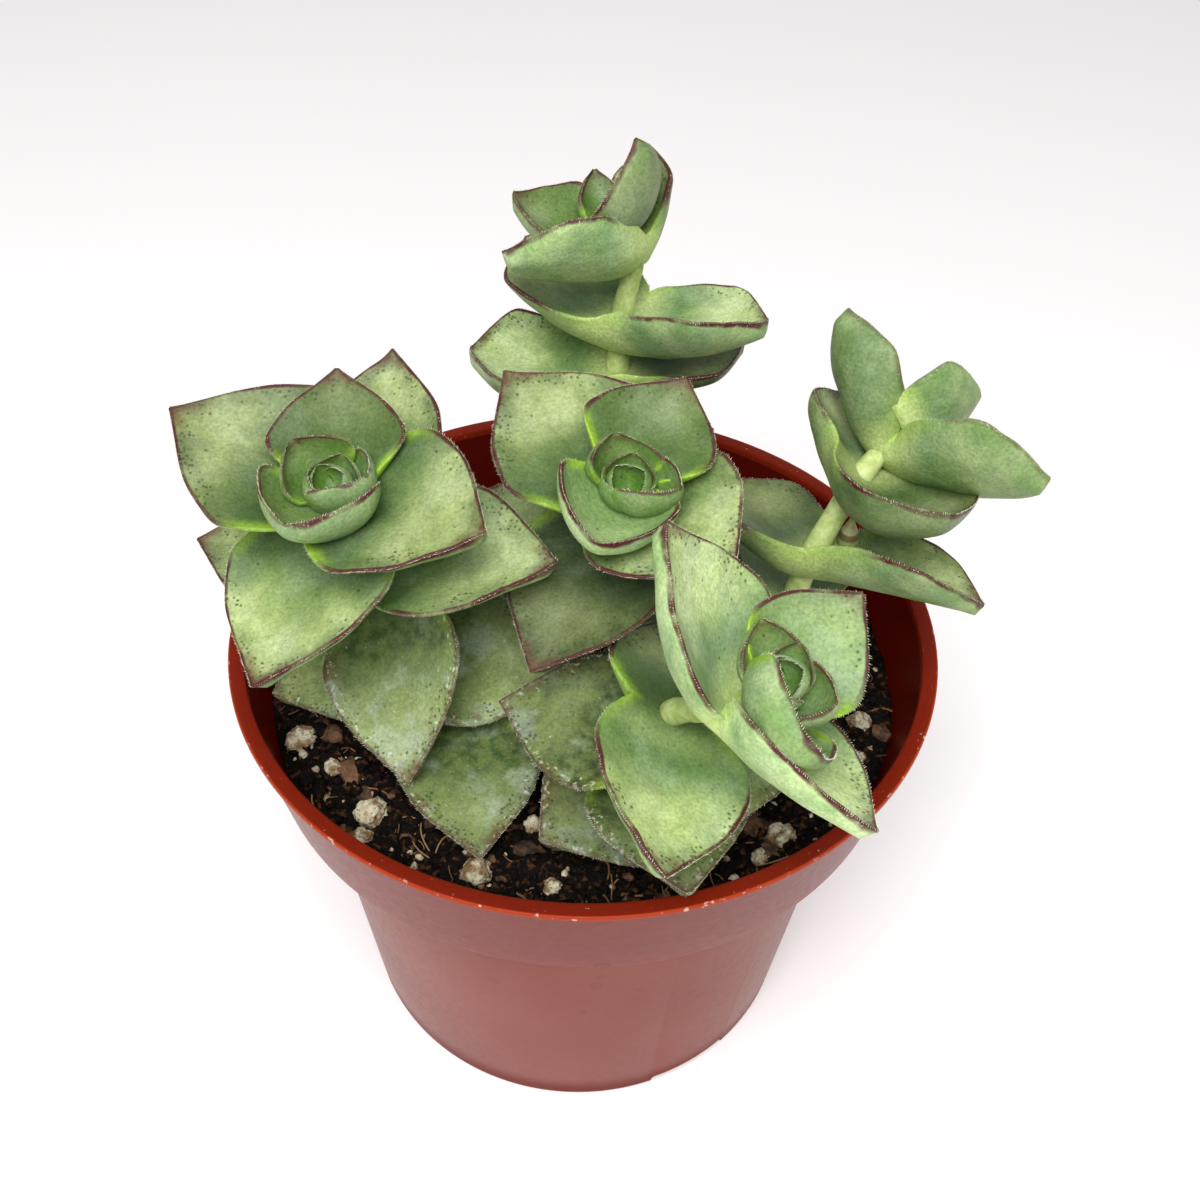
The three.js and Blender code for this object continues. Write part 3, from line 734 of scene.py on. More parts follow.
@dataclass(frozen=True)
class Studio:
    """Plain pale floor under soft light from all round, strongest from above."""

    floor_size: float = 6000.0
    sky: str = "fbfbff"
    sky_strength: float = 0.46
    key_place: Point = (-60.0, -300.0, 520.0)
    key_size: float = 350.0
    key_power: float = 4.0

    def build(self) -> None:
        """Lays the floor and sets the lights."""
        half = self.floor_size / 2
        corners = [(-half, -half, 0), (half, -half, 0), (half, half, 0), (-half, half, 0)]
        mesh = mesh_from("studio_floor", np.array(corners, float), [(0, 1, 2, 3)])
        mesh.materials.append(StudioPaper().material())
        new_object("studio_floor", mesh)
        world = bpy.data.worlds.new("studio_sky")
        world.use_nodes = True
        background = world.node_tree.nodes["Background"]
        background.inputs["Color"].default_value = linear(self.sky)
        background.inputs["Strength"].default_value = self.sky_strength
        bpy.context.scene.world = world
        lamp = bpy.data.lights.new("soft_key", "AREA")
        lamp.shape = "SQUARE"
        lamp.size = self.key_size * MM
        lamp.energy = self.key_power
        light = new_object("soft_key", lamp)
        light.location = Vector(self.key_place) * MM
        light.rotation_euler = (-light.location).to_track_quat("-Z", "Y").to_euler()
        bpy.context.scene.view_settings.view_transform = "Standard"
        LOG.info("studio: floor and lights")


# ------------------------------------------------------------------ pot


@dataclass(frozen=True)
class NurseryPot:
    """A thin moulded pot with a flat lip, a collar, a step, a tapered body and drain notches."""

    height: float = 46.8
    rim_radius: float = 32.5
    lip_width: float = 1.4
    lip_depth: float = 0.5
    collar_top: float = 32.1
    collar_foot: float = 30.0
    collar_foot_height: float = 35.6
    body_top: float = 26.8
    foot_radius: float = 22.9
    wall: float = 1.0
    corner: float = 0.45
    drain_count: int = 3
    drain_width: float = 9.0
    drain_height: float = 1.3
    drain_depth: float = 3.0
    drain_corner: float = 0.4
    first_drain: float = -60.0
    sides: int = 192
    corner_steps: int = 4
    sharp_from: float = 40.0  # degrees

    def inside(self, height: float) -> float:
        """Gives the inner radius of the collar or of the body at a height."""
        if height > self.collar_foot_height:
            share = (height - self.collar_foot_height) / (self.height - self.collar_foot_height)
            return self.collar_foot + (self.collar_top - self.collar_foot) * share - self.wall
        share = height / self.collar_foot_height
        return self.foot_radius + (self.body_top - self.foot_radius) * share - self.wall

    def profile(self) -> list[tuple[float, float]]:
        """Gives the wall's section as [radius, height] points with rounded corners."""
        top = self.height
        lip_foot = top - self.lip_depth
        shelf = self.collar_foot_height + self.wall
        corners = [
            (self.foot_radius, 0.0, 0.7),
            (self.body_top, self.collar_foot_height, 0.9),
            (self.collar_foot, self.collar_foot_height, self.corner),
            (self.collar_top, lip_foot, 0.08),
            (self.rim_radius, lip_foot, 0.1),
            (self.rim_radius, top, 0.16),
            (self.rim_radius - self.lip_width, top, 0.25),
            (self.inside(lip_foot), lip_foot, 0.1),
            (self.collar_foot - self.wall, shelf, self.corner),
            (self.body_top - self.wall, shelf, self.corner),
            (self.inside(1.0), 1.0, 0.6),
        ]
        points = [(0.0, 0.0)]
        for number, (radius, height, bend) in enumerate(corners):
            here = Vector((radius, height))
            before = corners[number - 1][:2] if number else (0.0, 0.0)
            after = corners[number + 1][:2] if number + 1 < len(corners) else (0.0, 1.0)
            back = (Vector(before) - here).normalized() * bend
            on = (Vector(after) - here).normalized() * bend
            for step in range(self.corner_steps + 1):
                share = step / self.corner_steps
                spot = here + back * (1 - share) ** 2 + on * share**2
                points.append((spot.x, spot.y))
        points.append((0.0, 1.0))
        return points

    def shell(self) -> Mesh:
        """Turns the section about the pot's axis."""
        shape = bmesh.new()
        rings: list[list[bmesh.types.BMVert]] = []
        for radius, height in self.profile():
            if radius < 1e-6:
                rings.append([shape.verts.new((0, 0, height * MM))])
                continue
            ring = []
            for side in range(self.sides):
                angle = FULL_TURN * side / self.sides
                x, y = radius * MM * math.cos(angle), radius * MM * math.sin(angle)
                ring.append(shape.verts.new((x, y, height * MM)))
            rings.append(ring)
        for low, high in zip(rings, rings[1:]):
            for side in range(self.sides):
                following = (side + 1) % self.sides
                if len(low) == 1:
                    shape.faces.new((low[0], high[following], high[side]))
                elif len(high) == 1:
                    shape.faces.new((low[side], low[following], high[0]))
                else:
                    shape.faces.new((low[side], low[following], high[following], high[side]))
        bmesh.ops.recalc_face_normals(shape, faces=shape.faces)
        return mesh_of(shape, "pot_shell")

    def notch_cutters(self) -> bpy.types.Object:
        """Makes one object of the blocks that the drain notches are cut with."""
        shape = bmesh.new()
        for number in range(self.drain_count):
            heading = math.radians(self.first_drain + 360 * number / self.drain_count)
            sizes = (2 * self.drain_depth, self.drain_width, 2 * self.drain_height, 1 / MM)
            place = Matrix.Rotation(heading, 4, "Z") @ Matrix.Translation((self.foot_radius * MM, 0, 0))
            bmesh.ops.create_cube(shape, size=1.0, matrix=place @ (Matrix.Diagonal(sizes) * MM))
        bmesh.ops.bevel(
            shape,
            geom=shape.edges,
            offset=self.drain_corner * MM,
            segments=3,
            profile=0.5,
            affect="EDGES",
            clamp_overlap=True,
        )
        return new_object("notch_cutters", mesh_of(shape, "notch_cutters"))

    def build(self) -> None:
        """Makes the pot, cuts its notches and dresses it."""
        carrier = new_object("pot_carrier", self.shell())
        cutters = self.notch_cutters()
        cut = carrier.modifiers.new("notches", "BOOLEAN")
        cut.operation = "DIFFERENCE"
        cut.solver = "EXACT"
        cut.object = cutters
        mesh = plain_mesh(carrier, "nursery_pot")
        bpy.data.objects.remove(cutters)
        mesh.polygons.foreach_set("use_smooth", [True] * len(mesh.polygons))
        mesh.set_sharp_from_angle(angle=math.radians(self.sharp_from))
        mesh.materials.clear()
        mesh.materials.append(MouldedPot(self).material())
        new_piece("nursery_pot", mesh, "pot")


# ------------------------------------------------------------------ soil


@dataclass(frozen=True)
class PottingSoil:
    """Moist peat with perlite lumps, crumbs and fibres."""

    pot: NurseryPot
    level: float = 40.0
    mound: float = 0.9
    hollows: float = 0.5
    hollow_spacing: float = 17.0
    gap: float = 0.4
    rings: int = 84
    sides: int = 240
    plain_rings: int = 24  # of the surface that crumbs are strewn on
    plain_sides: int = 72
    bare_edge: float = 0.8
    relief: float = 0.7
    clod_size: float = 2.6
    clod_layers: tuple[float, float, int] = (0.6, 2.2, 4)  # fading, fineness and number
    dimple_size: float = 0.55
    dimple_depth: float = 0.18
    crumb_density: float = 0.85  # crumbs on a square millimetre
    crumb_size: float = 0.58
    unevenness: float = 0.35  # how deep its dents are, as a share of a lump's radius
    narrowness: float = 0.8
    smallest: float = 0.45  # as a share of the usual size
    largest: float = 1.9
    rarity: float = 2.2  # how much commoner small lumps are than large ones
    tipping: float = 0.5  # radians
    dent_scale: float = 900.0  # dents in a metre
    fibre_density: float = 0.2
    fibre_length: float = 2.8
    fibre_radius: float = 0.09
    fibre_bow: Point = (0.1, 0.3, 0.16)  # where its middle is pulled to, as shares of its length
    fibre_scales: tuple[float, float] = (0.35, 1.25)
    fibre_tipping: float = 0.35  # radians
    grain_density: float = 0.15
    grain_size: float = 0.34
    chip_density: float = 0.11
    chip_size: float = 0.85
    lumps: tuple[Point, ...] = (  # each one's x, y and radius
        (-18.6, -17.6, 1.5),
        (-9.4, -23.8, 1.3),
        (-25.6, -9.4, 1.5),
        (-4.6, -19.0, 0.9),
        (-22.4, -12.6, 0.9),
        (-3.0, -25.6, 0.8),
        (-19.2, -19.9, 0.9),
        (26.4, 1.8, 1.2),
        (25.4, -7.2, 1.1),
        (16.6, -20.4, 1.2),
        (14.6, -22.6, 0.9),
        (24.4, -11.6, 0.9),
        (20.6, 14.2, 1.1),
        (-19.4, 16.4, 1.2),
        (-8.4, 24.2, 1.0),
        (11.8, 23.0, 1.2),
        (-26.2, 4.6, 1.0),
    )

    def surface(self, x: float, y: float) -> float:
        """Gives the soil's height at a place, without its crumbs."""
        outwards = math.hypot(x, y) / self.pot.inside(self.level)
        turns = FULL_TURN / self.hollow_spacing
        wave = math.sin(x * turns) * math.cos(y * turns)
        return self.level + self.mound * (1 - outwards**2) + self.hollows * wave

    def rough_surface(self, x: float, y: float) -> float:
        """Gives the soil's height at a place, clods and crumbs included."""
        clods = noise.fractal(Vector((x, y, 0)) / self.clod_size, *self.clod_layers)
        dimples = noise.noise(Vector((x, y, 7)) / self.dimple_size)
        return self.surface(x, y) + self.relief * clods + self.dimple_depth * dimples

    def round_mesh(
        self, name: str, reach: float, rings: int, sides: int, below: tuple[tuple[float, float], ...] = ()
    ) -> Mesh:
        """Makes a round mesh over the soil's rough surface.

        Args:
            name: the mesh's name.
            reach: its radius.
            rings: how many rings of points it has.
            sides: how many points a ring has.
            below: radius and height of each ring under its rim, down to a closed floor.

        Returns:
            The mesh.
        """
        angles = [FULL_TURN * side / sides for side in range(sides)]
        points = [(0.0, 0.0, self.rough_surface(0, 0))]
        for ring in range(1, rings + 1):
            radius = reach * ring / rings
            for angle in angles:
                x, y = radius * math.cos(angle), radius * math.sin(angle)
                points.append((x, y, self.rough_surface(x, y)))
        for radius, height in below:
            points.extend((radius * math.cos(angle), radius * math.sin(angle), height) for angle in angles)
        faces: Faces = [(0, 1 + side, 1 + (side + 1) % sides) for side in range(sides)]
        faces.extend(ring_faces(rings + len(below), sides, first=1))
        if below:
            faces.append(tuple(range(len(points) - 1, len(points) - 1 - sides, -1)))
        return mesh_from(name, np.array(points), faces)

    def bed(self) -> Mesh:
        """Makes the bed of peat: its rough top, its side along the pot and its floor."""
        pot, gap = self.pot, self.gap
        shelf = pot.collar_foot_height + pot.wall + gap
        floor = pot.wall + gap
        bevel, bend = 0.6, 1.0
        below = (
            (pot.inside(shelf) - gap, shelf + bevel),
            (pot.inside(shelf) - gap - bevel, shelf),
            (pot.body_top - pot.wall - gap, shelf),
            (pot.inside(floor + bend) - gap, floor + bend),
            (pot.inside(floor) - gap - bend, floor),
        )
        return self.round_mesh("peat_bed", pot.inside(self.level) - gap, self.rings, self.sides, below)

    def top(self) -> Mesh:
        """Makes a plain copy of the top, which crumbs and fibres are strewn on."""
        reach = self.pot.inside(self.level) - self.gap - self.bare_edge
        return self.round_mesh("soil_top", reach, self.plain_rings, self.plain_sides)

    def strewn(
        self, name: str, density: float, size: float, flat: float, seed: int, finish: Material
    ) -> Mesh:
        """Strews small uneven lumps over the soil.

        Args:
            name: the mesh's name.
            density: how many lie on a square millimetre.
            size: a lump's usual radius.
            flat: its height as a share of its width.
            seed: the seed of its chances.
            finish: its material.

        Returns:
            The mesh of all the lumps.
        """
        tree = Growth(
            name, Density=density, Size=size, Flatness=flat, Unevenness=self.unevenness, Seed=seed
        )
        radius = tree.metres("Size")
        ball = tree.add("GeometryNodeMeshUVSphere", {"Radius": radius, "Segments": 7, "Rings": 5})
        squash = tree.add("ShaderNodeCombineXYZ", {0: 1.0, 1: self.narrowness, 2: tree.given["Flatness"]})
        lump = tree.add("GeometryNodeTransform", {"Geometry": ball, "Scale": squash})

        chances = {2: 0.0, 3: 1.0, "Seed": tree.given["Seed"]}
        chance = tree.add("FunctionNodeRandomValue", chances, data_type="FLOAT").outputs[1]
        skewed = tree.add("ShaderNodeMath", {0: chance, 1: self.rarity}, operation="POWER")
        sizes = {"Value": skewed, "To Min": self.smallest, "To Max": self.largest}
        copies = tree.scattered(lump, self.tipping, tree.add("ShaderNodeMapRange", sizes))

        # Each copy gets dents of its own from noise at its place.
        real = tree.add("GeometryNodeRealizeInstances", {0: copies})
        where = tree.add("GeometryNodeInputPosition")
        dents = {"Vector": where, "Scale": self.dent_scale, "Detail": 1.0}
        rough = tree.add("ShaderNodeTexNoise", dents).outputs["Color"]
        centred = tree.add("ShaderNodeVectorMath", {0: rough, 1: (0.5, 0.5, 0.5)}, operation="SUBTRACT")
        reach = tree.add("ShaderNodeMath", {0: radius, 1: tree.given["Unevenness"]}, operation="MULTIPLY")
        twice = tree.add("ShaderNodeMath", {0: reach, 1: 4.0}, operation="MULTIPLY")
        offset = tree.add("ShaderNodeVectorMath", {0: centred, "Scale": twice}, operation="SCALE")
        shaken = tree.add("GeometryNodeSetPosition", {"Geometry": real, "Offset": offset})
        return tree.grown(self.top(), shaken, finish)

    def fibres(self, finish: Material) -> Mesh:
        """Strews thin bent fibres over the soil.

        Args:
            finish: their material.

        Returns:
            The mesh of all the fibres.
        """
        tree = Growth(
            "soil_fibres",
            Density=self.fibre_density,
            Length=self.fibre_length,
            Thickness=self.fibre_radius,
            Seed=41,
        )
        length = tree.metres("Length")
        lengths = tree.add("ShaderNodeCombineXYZ", {0: length, 1: length, 2: length})
        places: dict[str, object] = {"Resolution": 5}
        for end, place in (("Start", (-0.5, 0, 0)), ("Middle", self.fibre_bow), ("End", (0.5, 0, 0))):
            places[end] = tree.add("ShaderNodeVectorMath", {0: lengths, 1: place}, operation="MULTIPLY")
        line = tree.add("GeometryNodeCurveQuadraticBezier", places)
        circle = {"Resolution": 3, "Radius": tree.metres("Thickness")}
        section = tree.add("GeometryNodeCurvePrimitiveCircle", circle)
        curves = {"Curve": line, "Profile Curve": section, "Fill Caps": True}
        tube = tree.add("GeometryNodeCurveToMesh", curves)
        low, high = self.fibre_scales
        chances = {2: low, 3: high, "Seed": tree.given["Seed"]}
        scale = tree.add("FunctionNodeRandomValue", chances, data_type="FLOAT").outputs[1]
        return tree.grown(self.top(), tree.scattered(tube, self.fibre_tipping, scale), finish)

    def perlite(self, finish: Material) -> Mesh:
        """Makes the large perlite lumps where they lie.

        Args:
            finish: their material.

        Returns:
            The mesh of the lumps.
        """
        shape = bmesh.new()
        for x, y, radius in self.lumps:
            before = len(shape.verts)
            made = bmesh.ops.create_icosphere(shape, subdivisions=4, radius=radius * MM)
            centre = Vector((x, y, self.surface(x, y) + 0.35 * radius)) * MM
            for vertex in made["verts"]:
                way = vertex.co.normalized()
                spot = way * 1.3 + Vector((x, y, before))
                swell = 1 + 0.34 * noise.noise(spot) + 0.2 * noise.noise(spot * 2.7)
                swell += 0.1 * noise.noise(spot * 6)
                vertex.co = Vector((way.x, way.y * 0.9, way.z * 0.8)) * radius * MM * swell + centre
        mesh = mesh_of(shape, "perlite_lumps")
        mesh.polygons.foreach_set("use_smooth", [True] * len(mesh.polygons))
        mesh.materials.append(finish)
        return mesh

    def build(self) -> None:
        """Makes the bed and all that lies on it."""
        peat = MoistPeat().material()
        chalky = ExpandedPerlite().material()
        bed = self.bed()
        bed.materials.append(peat)
        crumbs = self.strewn("peat_crumbs", self.crumb_density, self.crumb_size, 0.7, 11, peat)
        grains = self.strewn("perlite_grains", self.grain_density, self.grain_size, 0.8, 23, chalky)
        bark = PineBark().material()
        chips = self.strewn("bark_chips", self.chip_density, self.chip_size, 0.45, 37, bark)
        lumps = self.perlite(chalky)
        for mesh in (bed, crumbs, grains, chips, lumps, self.fibres(CoirFibre().material())):
            new_piece(mesh.name, mesh, "soil")


# ------------------------------------------------------------------ leaves


@dataclass(frozen=True)
class LeafForm:
    """Sizes of one leaf. Angles are in degrees."""

    reach: float  # from the stem's axis to the tip
    breadth: float
    cup: float  # half angle of the section's curve near the stem
    bow: float  # swing of the midline as a share of the reach
    deep: float  # greatest thickness
    widest: float = 0.38  # where it is broadest
    waist: float = 0.62  # breadth at the stem, as a share of the greatest
    opening: float = 0.55  # share of the cup that is lost by the tip
    stage: float = 0.5  # 0 for the newest leaves, 1 for the oldest
    blush: float = 1.0  # how strong the purple margin is


class Age(Enum):
    """A leaf's age, with the form that such a leaf usually has."""

    TINY = LeafForm(2.4, 3.4, 80, 0.2, 0.9, opening=0.2, stage=0.0, blush=0.4)
    CORE = LeafForm(3.6, 5.2, 82, 0.2, 1.1, opening=0.2, stage=0.05, blush=0.7)
    BUD = LeafForm(5.4, 8, 80, 0.18, 1.5, opening=0.25, stage=0.15, blush=0.9)
    YOUNG = LeafForm(10, 11.5, 66, 0.14, 2.0, stage=0.3)
    MATURE = LeafForm(15.5, 15, 24, 0.02, 2.6, stage=0.5)
    LOOSE = LeafForm(14, 12.5, 32, 0.03, 2.8, widest=0.62, waist=0.5, stage=0.45)
    OLD = LeafForm(15.5, 14.5, 12, -0.02, 2.6, stage=1.0, blush=0.6)


NEWEST = (Age.TINY, Age.CORE, Age.BUD, Age.YOUNG)


@dataclass(frozen=True)
class Leaf:
    """One leaf: its compass heading, its rise, and where it departs from its age's form."""

    heading: float
    rise: float
    tilt: float = 0.0
    reach: float | None = None
    breadth: float | None = None
    cup: float | None = None
    bow: float | None = None
    deep: float | None = None
    widest: float | None = None
    waist: float | None = None
    opening: float | None = None
    blush: float | None = None
    paleness: float = 0.5  # how light the leaf is painted: 0 darker, 1 lighter and a little greyer

    def form(self, age: Age) -> LeafForm:
        """Gives the leaf's own form."""
        names = ("reach", "breadth", "cup", "bow", "deep", "widest", "waist", "opening", "blush")
        own = {name: getattr(self, name) for name in names if getattr(self, name) is not None}
        return replace(age.value, **own)


@dataclass(frozen=True)
class Pair:
    """Two leaves grown together round the stem, or one leaf by itself."""

    age: Age
    at: Point
    first: Leaf
    second: Leaf | None = None
    axis: Point | None = None  # the way that it faces, where the stem's own way doesn't tell

    @property
    def leaves(self) -> list[Leaf]:
        """Gives its one leaf or its two leaves."""
        return [self.first] if self.second is None else [self.first, self.second]


@dataclass
class Blade:
    """The faces of one leaf as grids of points: rows run to the tip, columns across."""

    top: np.ndarray
    bottom: np.ndarray
    along: np.ndarray
    margin: np.ndarray

    def mirrored(self) -> "Blade":
        """Gives the same blade with its columns the other way round."""
        return Blade(*(grid[:, ::-1] for grid in self.grids()))

    def grids(self) -> tuple[np.ndarray, ...]:
        """Gives its four grids."""
        return self.top, self.bottom, self.along, self.margin

    def centre(self, row: int) -> np.ndarray:
        """Gives the middle of one of its rows."""
        return self.top[row].mean(axis=0) * 0.5 + self.bottom[row].mean(axis=0) * 0.5


@dataclass(frozen=True)
class LeafShaper:
    """Makes the fine shape of a leaf with a boat-shaped section and a rounded margin."""

    edge: float = 0.3
    rim_round: float = 0.16
    taper: float = 1.7
    point: float = 1.15
    swell: float = 2.2
    thinning: float = 0.5
    tip_half: float = 0.05
    row_spacing: float = 0.42
    flat_columns: int = 22
    rim_columns: int = 4
    join: float = 0.2  # share of the reach over which a leaf runs into its partner
    overlap: float = 0.1
    pucker: float = 0.07
    crease: float = 0.22
    deep_cup: float = 60.0  # leaves that are cupped more than this are flatter near the stem
    base_flat: float = 0.5
    base_reach: float = 0.22
    wobble: float = 0.014  # how much the outline swings, as a share of the breadth
    wobbles: float = 17.0
    tip_crowding: float = 1.3  # more than 1 sets the rows closer towards the tip
    thin_under: float = 0.9  # where the half breadth is less, the leaf grows thinner too
    crease_width: float = 1.3
    usual_reach: float = 15.0  # shorter leaves have less relief
    waves: int = 7
    wave_lengths: tuple[float, float] = (2.6, 7.0)
    wave_sum: float = 2.6  # what the waves' sum is divided by, to be about 1 high

    def outline(self, along: np.ndarray, form: LeafForm) -> np.ndarray:
        """Gives the half breadth along a leaf as a share of its greatest half breadth."""
        outwards = np.clip(along / form.widest, 0, 1)
        near = form.waist + (1 - form.waist) * np.sin(math.pi / 2 * outwards)
        to_tip = np.clip((along - form.widest) / (1 - form.widest), 0, 1)
        return near * (1 - to_tip**self.taper) ** self.point

    def ripples(self, x: np.ndarray, y: np.ndarray, seed: int) -> np.ndarray:
        """Gives soft random waves, about 1 high, of a few millimetres' length.

        Args:
            x: distance along the leaf.
            y: distance across it.
            seed: the seed of the waves.

        Returns:
            The waves' height at each point.
        """
        chance = np.random.default_rng(seed)
        total = np.zeros_like(x)
        for _ in range(self.waves):
            length = chance.uniform(*self.wave_lengths)
            heading = chance.uniform(0, math.pi)
            start = chance.uniform(0, FULL_TURN)
            total += np.sin(FULL_TURN / length * (x * math.cos(heading) + y * math.sin(heading)) + start)
        return total / self.wave_sum

    def blade(
        self, leaf: Leaf, form: LeafForm, node: np.ndarray, axis: np.ndarray, first: float, seed: int
    ) -> Blade:
        """Makes the grids of one leaf.

        Args:
            leaf: its heading, rise and tilt.
            form: its sizes.
            node: the place on the stem's axis that it grows from.
            axis: the stem's direction there.
            first: the share of the reach at which its first row lies.
            seed: the seed of its ripples.

        Returns:
            The blade, from its first row to just short of its tip.
        """
        heading, rise = math.radians(leaf.heading), math.radians(leaf.rise)
        level = math.cos(rise)
        out = np.array([math.cos(heading) * level, math.sin(heading) * level, math.sin(rise)])
        across = np.cross(axis, out)
        across /= np.linalg.norm(across)
        tilt = math.radians(leaf.tilt)
        across = across * math.cos(tilt) + np.cross(out, across) * math.sin(tilt)
        up = np.cross(out, across)
        rows = max(12, int(form.reach / self.row_spacing))
        steps = np.linspace(0, 1, rows + 1)[:-1]
        along = (first + (1 - first) * (1 - (1 - steps) ** self.tip_crowding))[:, None]
        beyond = np.maximum(along, 0)
        half = np.maximum(self.outline(beyond, form) * form.breadth / 2, self.tip_half)
        half = half * (1 + self.wobble * np.sin(beyond * self.wobbles + seed) * np.minimum(beyond * 3, 1))

        flat_end = np.maximum(1 - self.rim_round / half, 0.2)
        flat = np.linspace(-1, 1, self.flat_columns + 1)[None, :] * flat_end
        angles = np.linspace(0, math.pi / 2, self.rim_columns + 1)[1:]
        rim = flat_end + (1 - flat_end) * np.sin(angles)[None, :]
        side = np.concatenate([-rim[:, ::-1], flat, rim], axis=1)
        inner = np.ones(self.flat_columns + 1)
        closing = np.concatenate([np.cos(angles)[::-1], inner, np.cos(angles)])[None, :]

        curve = math.radians(form.cup) * (1 - form.opening * beyond)
        if form.cup > self.deep_cup:
            curve = curve * (1 - self.base_flat * np.exp(-((beyond / self.base_reach) ** 2)))
        swing = form.bow * form.reach * (1 - (2 * beyond - 1) ** 2)
        deep = np.maximum(form.deep * (1 - self.thinning * beyond**2), self.edge)
        thick = self.edge + (deep - self.edge) * (1 - np.abs(side) ** self.swell)
        thick = thick * np.minimum(1, half / self.thin_under)
        x, y = along * form.reach + 0 * side, half * side
        size = form.reach / self.usual_reach
        puckers = self.pucker * self.ripples(x, y, seed) * np.minimum(beyond * 4, 1) * size
        fold = self.crease * np.exp(-((y / self.crease_width) ** 2))
        fold = fold * np.sin(math.pi * np.clip(beyond, 0, 1)) * size
        sine, cosine = np.sin(curve * side), np.cos(curve * side)
        place = (
            node
            + x[..., None] * out
            + (half * sine / curve)[..., None] * across
            + (half * (1 - cosine) / curve - swing + puckers)[..., None] * up
        )
        normal = cosine[..., None] * up - sine[..., None] * across
        upper = place - (thick * (1 - closing) / 2 + fold * closing)[..., None] * normal
        lower = place - (thick * (1 + closing) / 2)[..., None] * normal
        margin = (1 - np.abs(side)) * half
        return Blade(upper, lower, along + 0 * side, margin)

    def joined_to(self, blade: Blade, top: np.ndarray, bottom: np.ndarray) -> Blade:
        """Bends a blade's near rows so that its first row lies on a given one.

        Args:
            blade: the blade.
            top: the first row's points on the upper face.
            bottom: the first row's points on the lower face.

        Returns:
            The bent blade.
        """
        share = np.clip(1 - blade.along / self.join, 0, 1)[..., None] ** 2
        return Blade(
            blade.top + share * (top - blade.top[0]),
            blade.bottom + share * (bottom - blade.bottom[0]),
            blade.along,
            blade.margin,
        )


@dataclass
class Shell:
    """A growing mesh of blades and tubes, with the numbers that its paint reads."""

    points: list[np.ndarray]
    faces: Faces
    numbers: dict[str, list[np.ndarray]]
    slots: list[int]
    count: int = 0

    @classmethod
    def empty(cls) -> "Shell":
        """Starts a shell."""
        return cls([], [], {name: [] for name in LEAF_MAPS}, [])

    def add(self, points: np.ndarray, faces: Faces, slot: int, **numbers: np.ndarray | float) -> None:
        """Adds points and faces.

        Args:
            points: an array of shape (count, 3), in millimetres.
            faces: for each face, the numbers of its points among these.
            slot: the faces' material.
            numbers: for each painted number, one value or one for each point.
        """
        self.points.append(points)
        self.faces.extend(tuple(self.count + one for one in face) for face in faces)
        self.slots.extend([slot] * len(faces))
        for name, values in self.numbers.items():
            values.append(np.broadcast_to(np.asarray(numbers.get(name, 0.0), float), (len(points),)))
        self.count += len(points)

    def mesh(self, name: str, materials: list[Material]) -> Mesh:
        """Makes the mesh.

        Args:
            name: the mesh's name.
            materials: its materials.

        Returns:
            The mesh, with its painted numbers.
        """
        mesh = mesh_from(name, np.concatenate(self.points), self.faces)
        for material in materials:
            mesh.materials.append(material)
        mesh.polygons.foreach_set("material_index", self.slots)
        for label, values in self.numbers.items():
            layer = mesh.attributes.new(label, "FLOAT", "POINT")
            layer.data.foreach_set("value", np.concatenate(values).astype(np.float32))
        return mesh


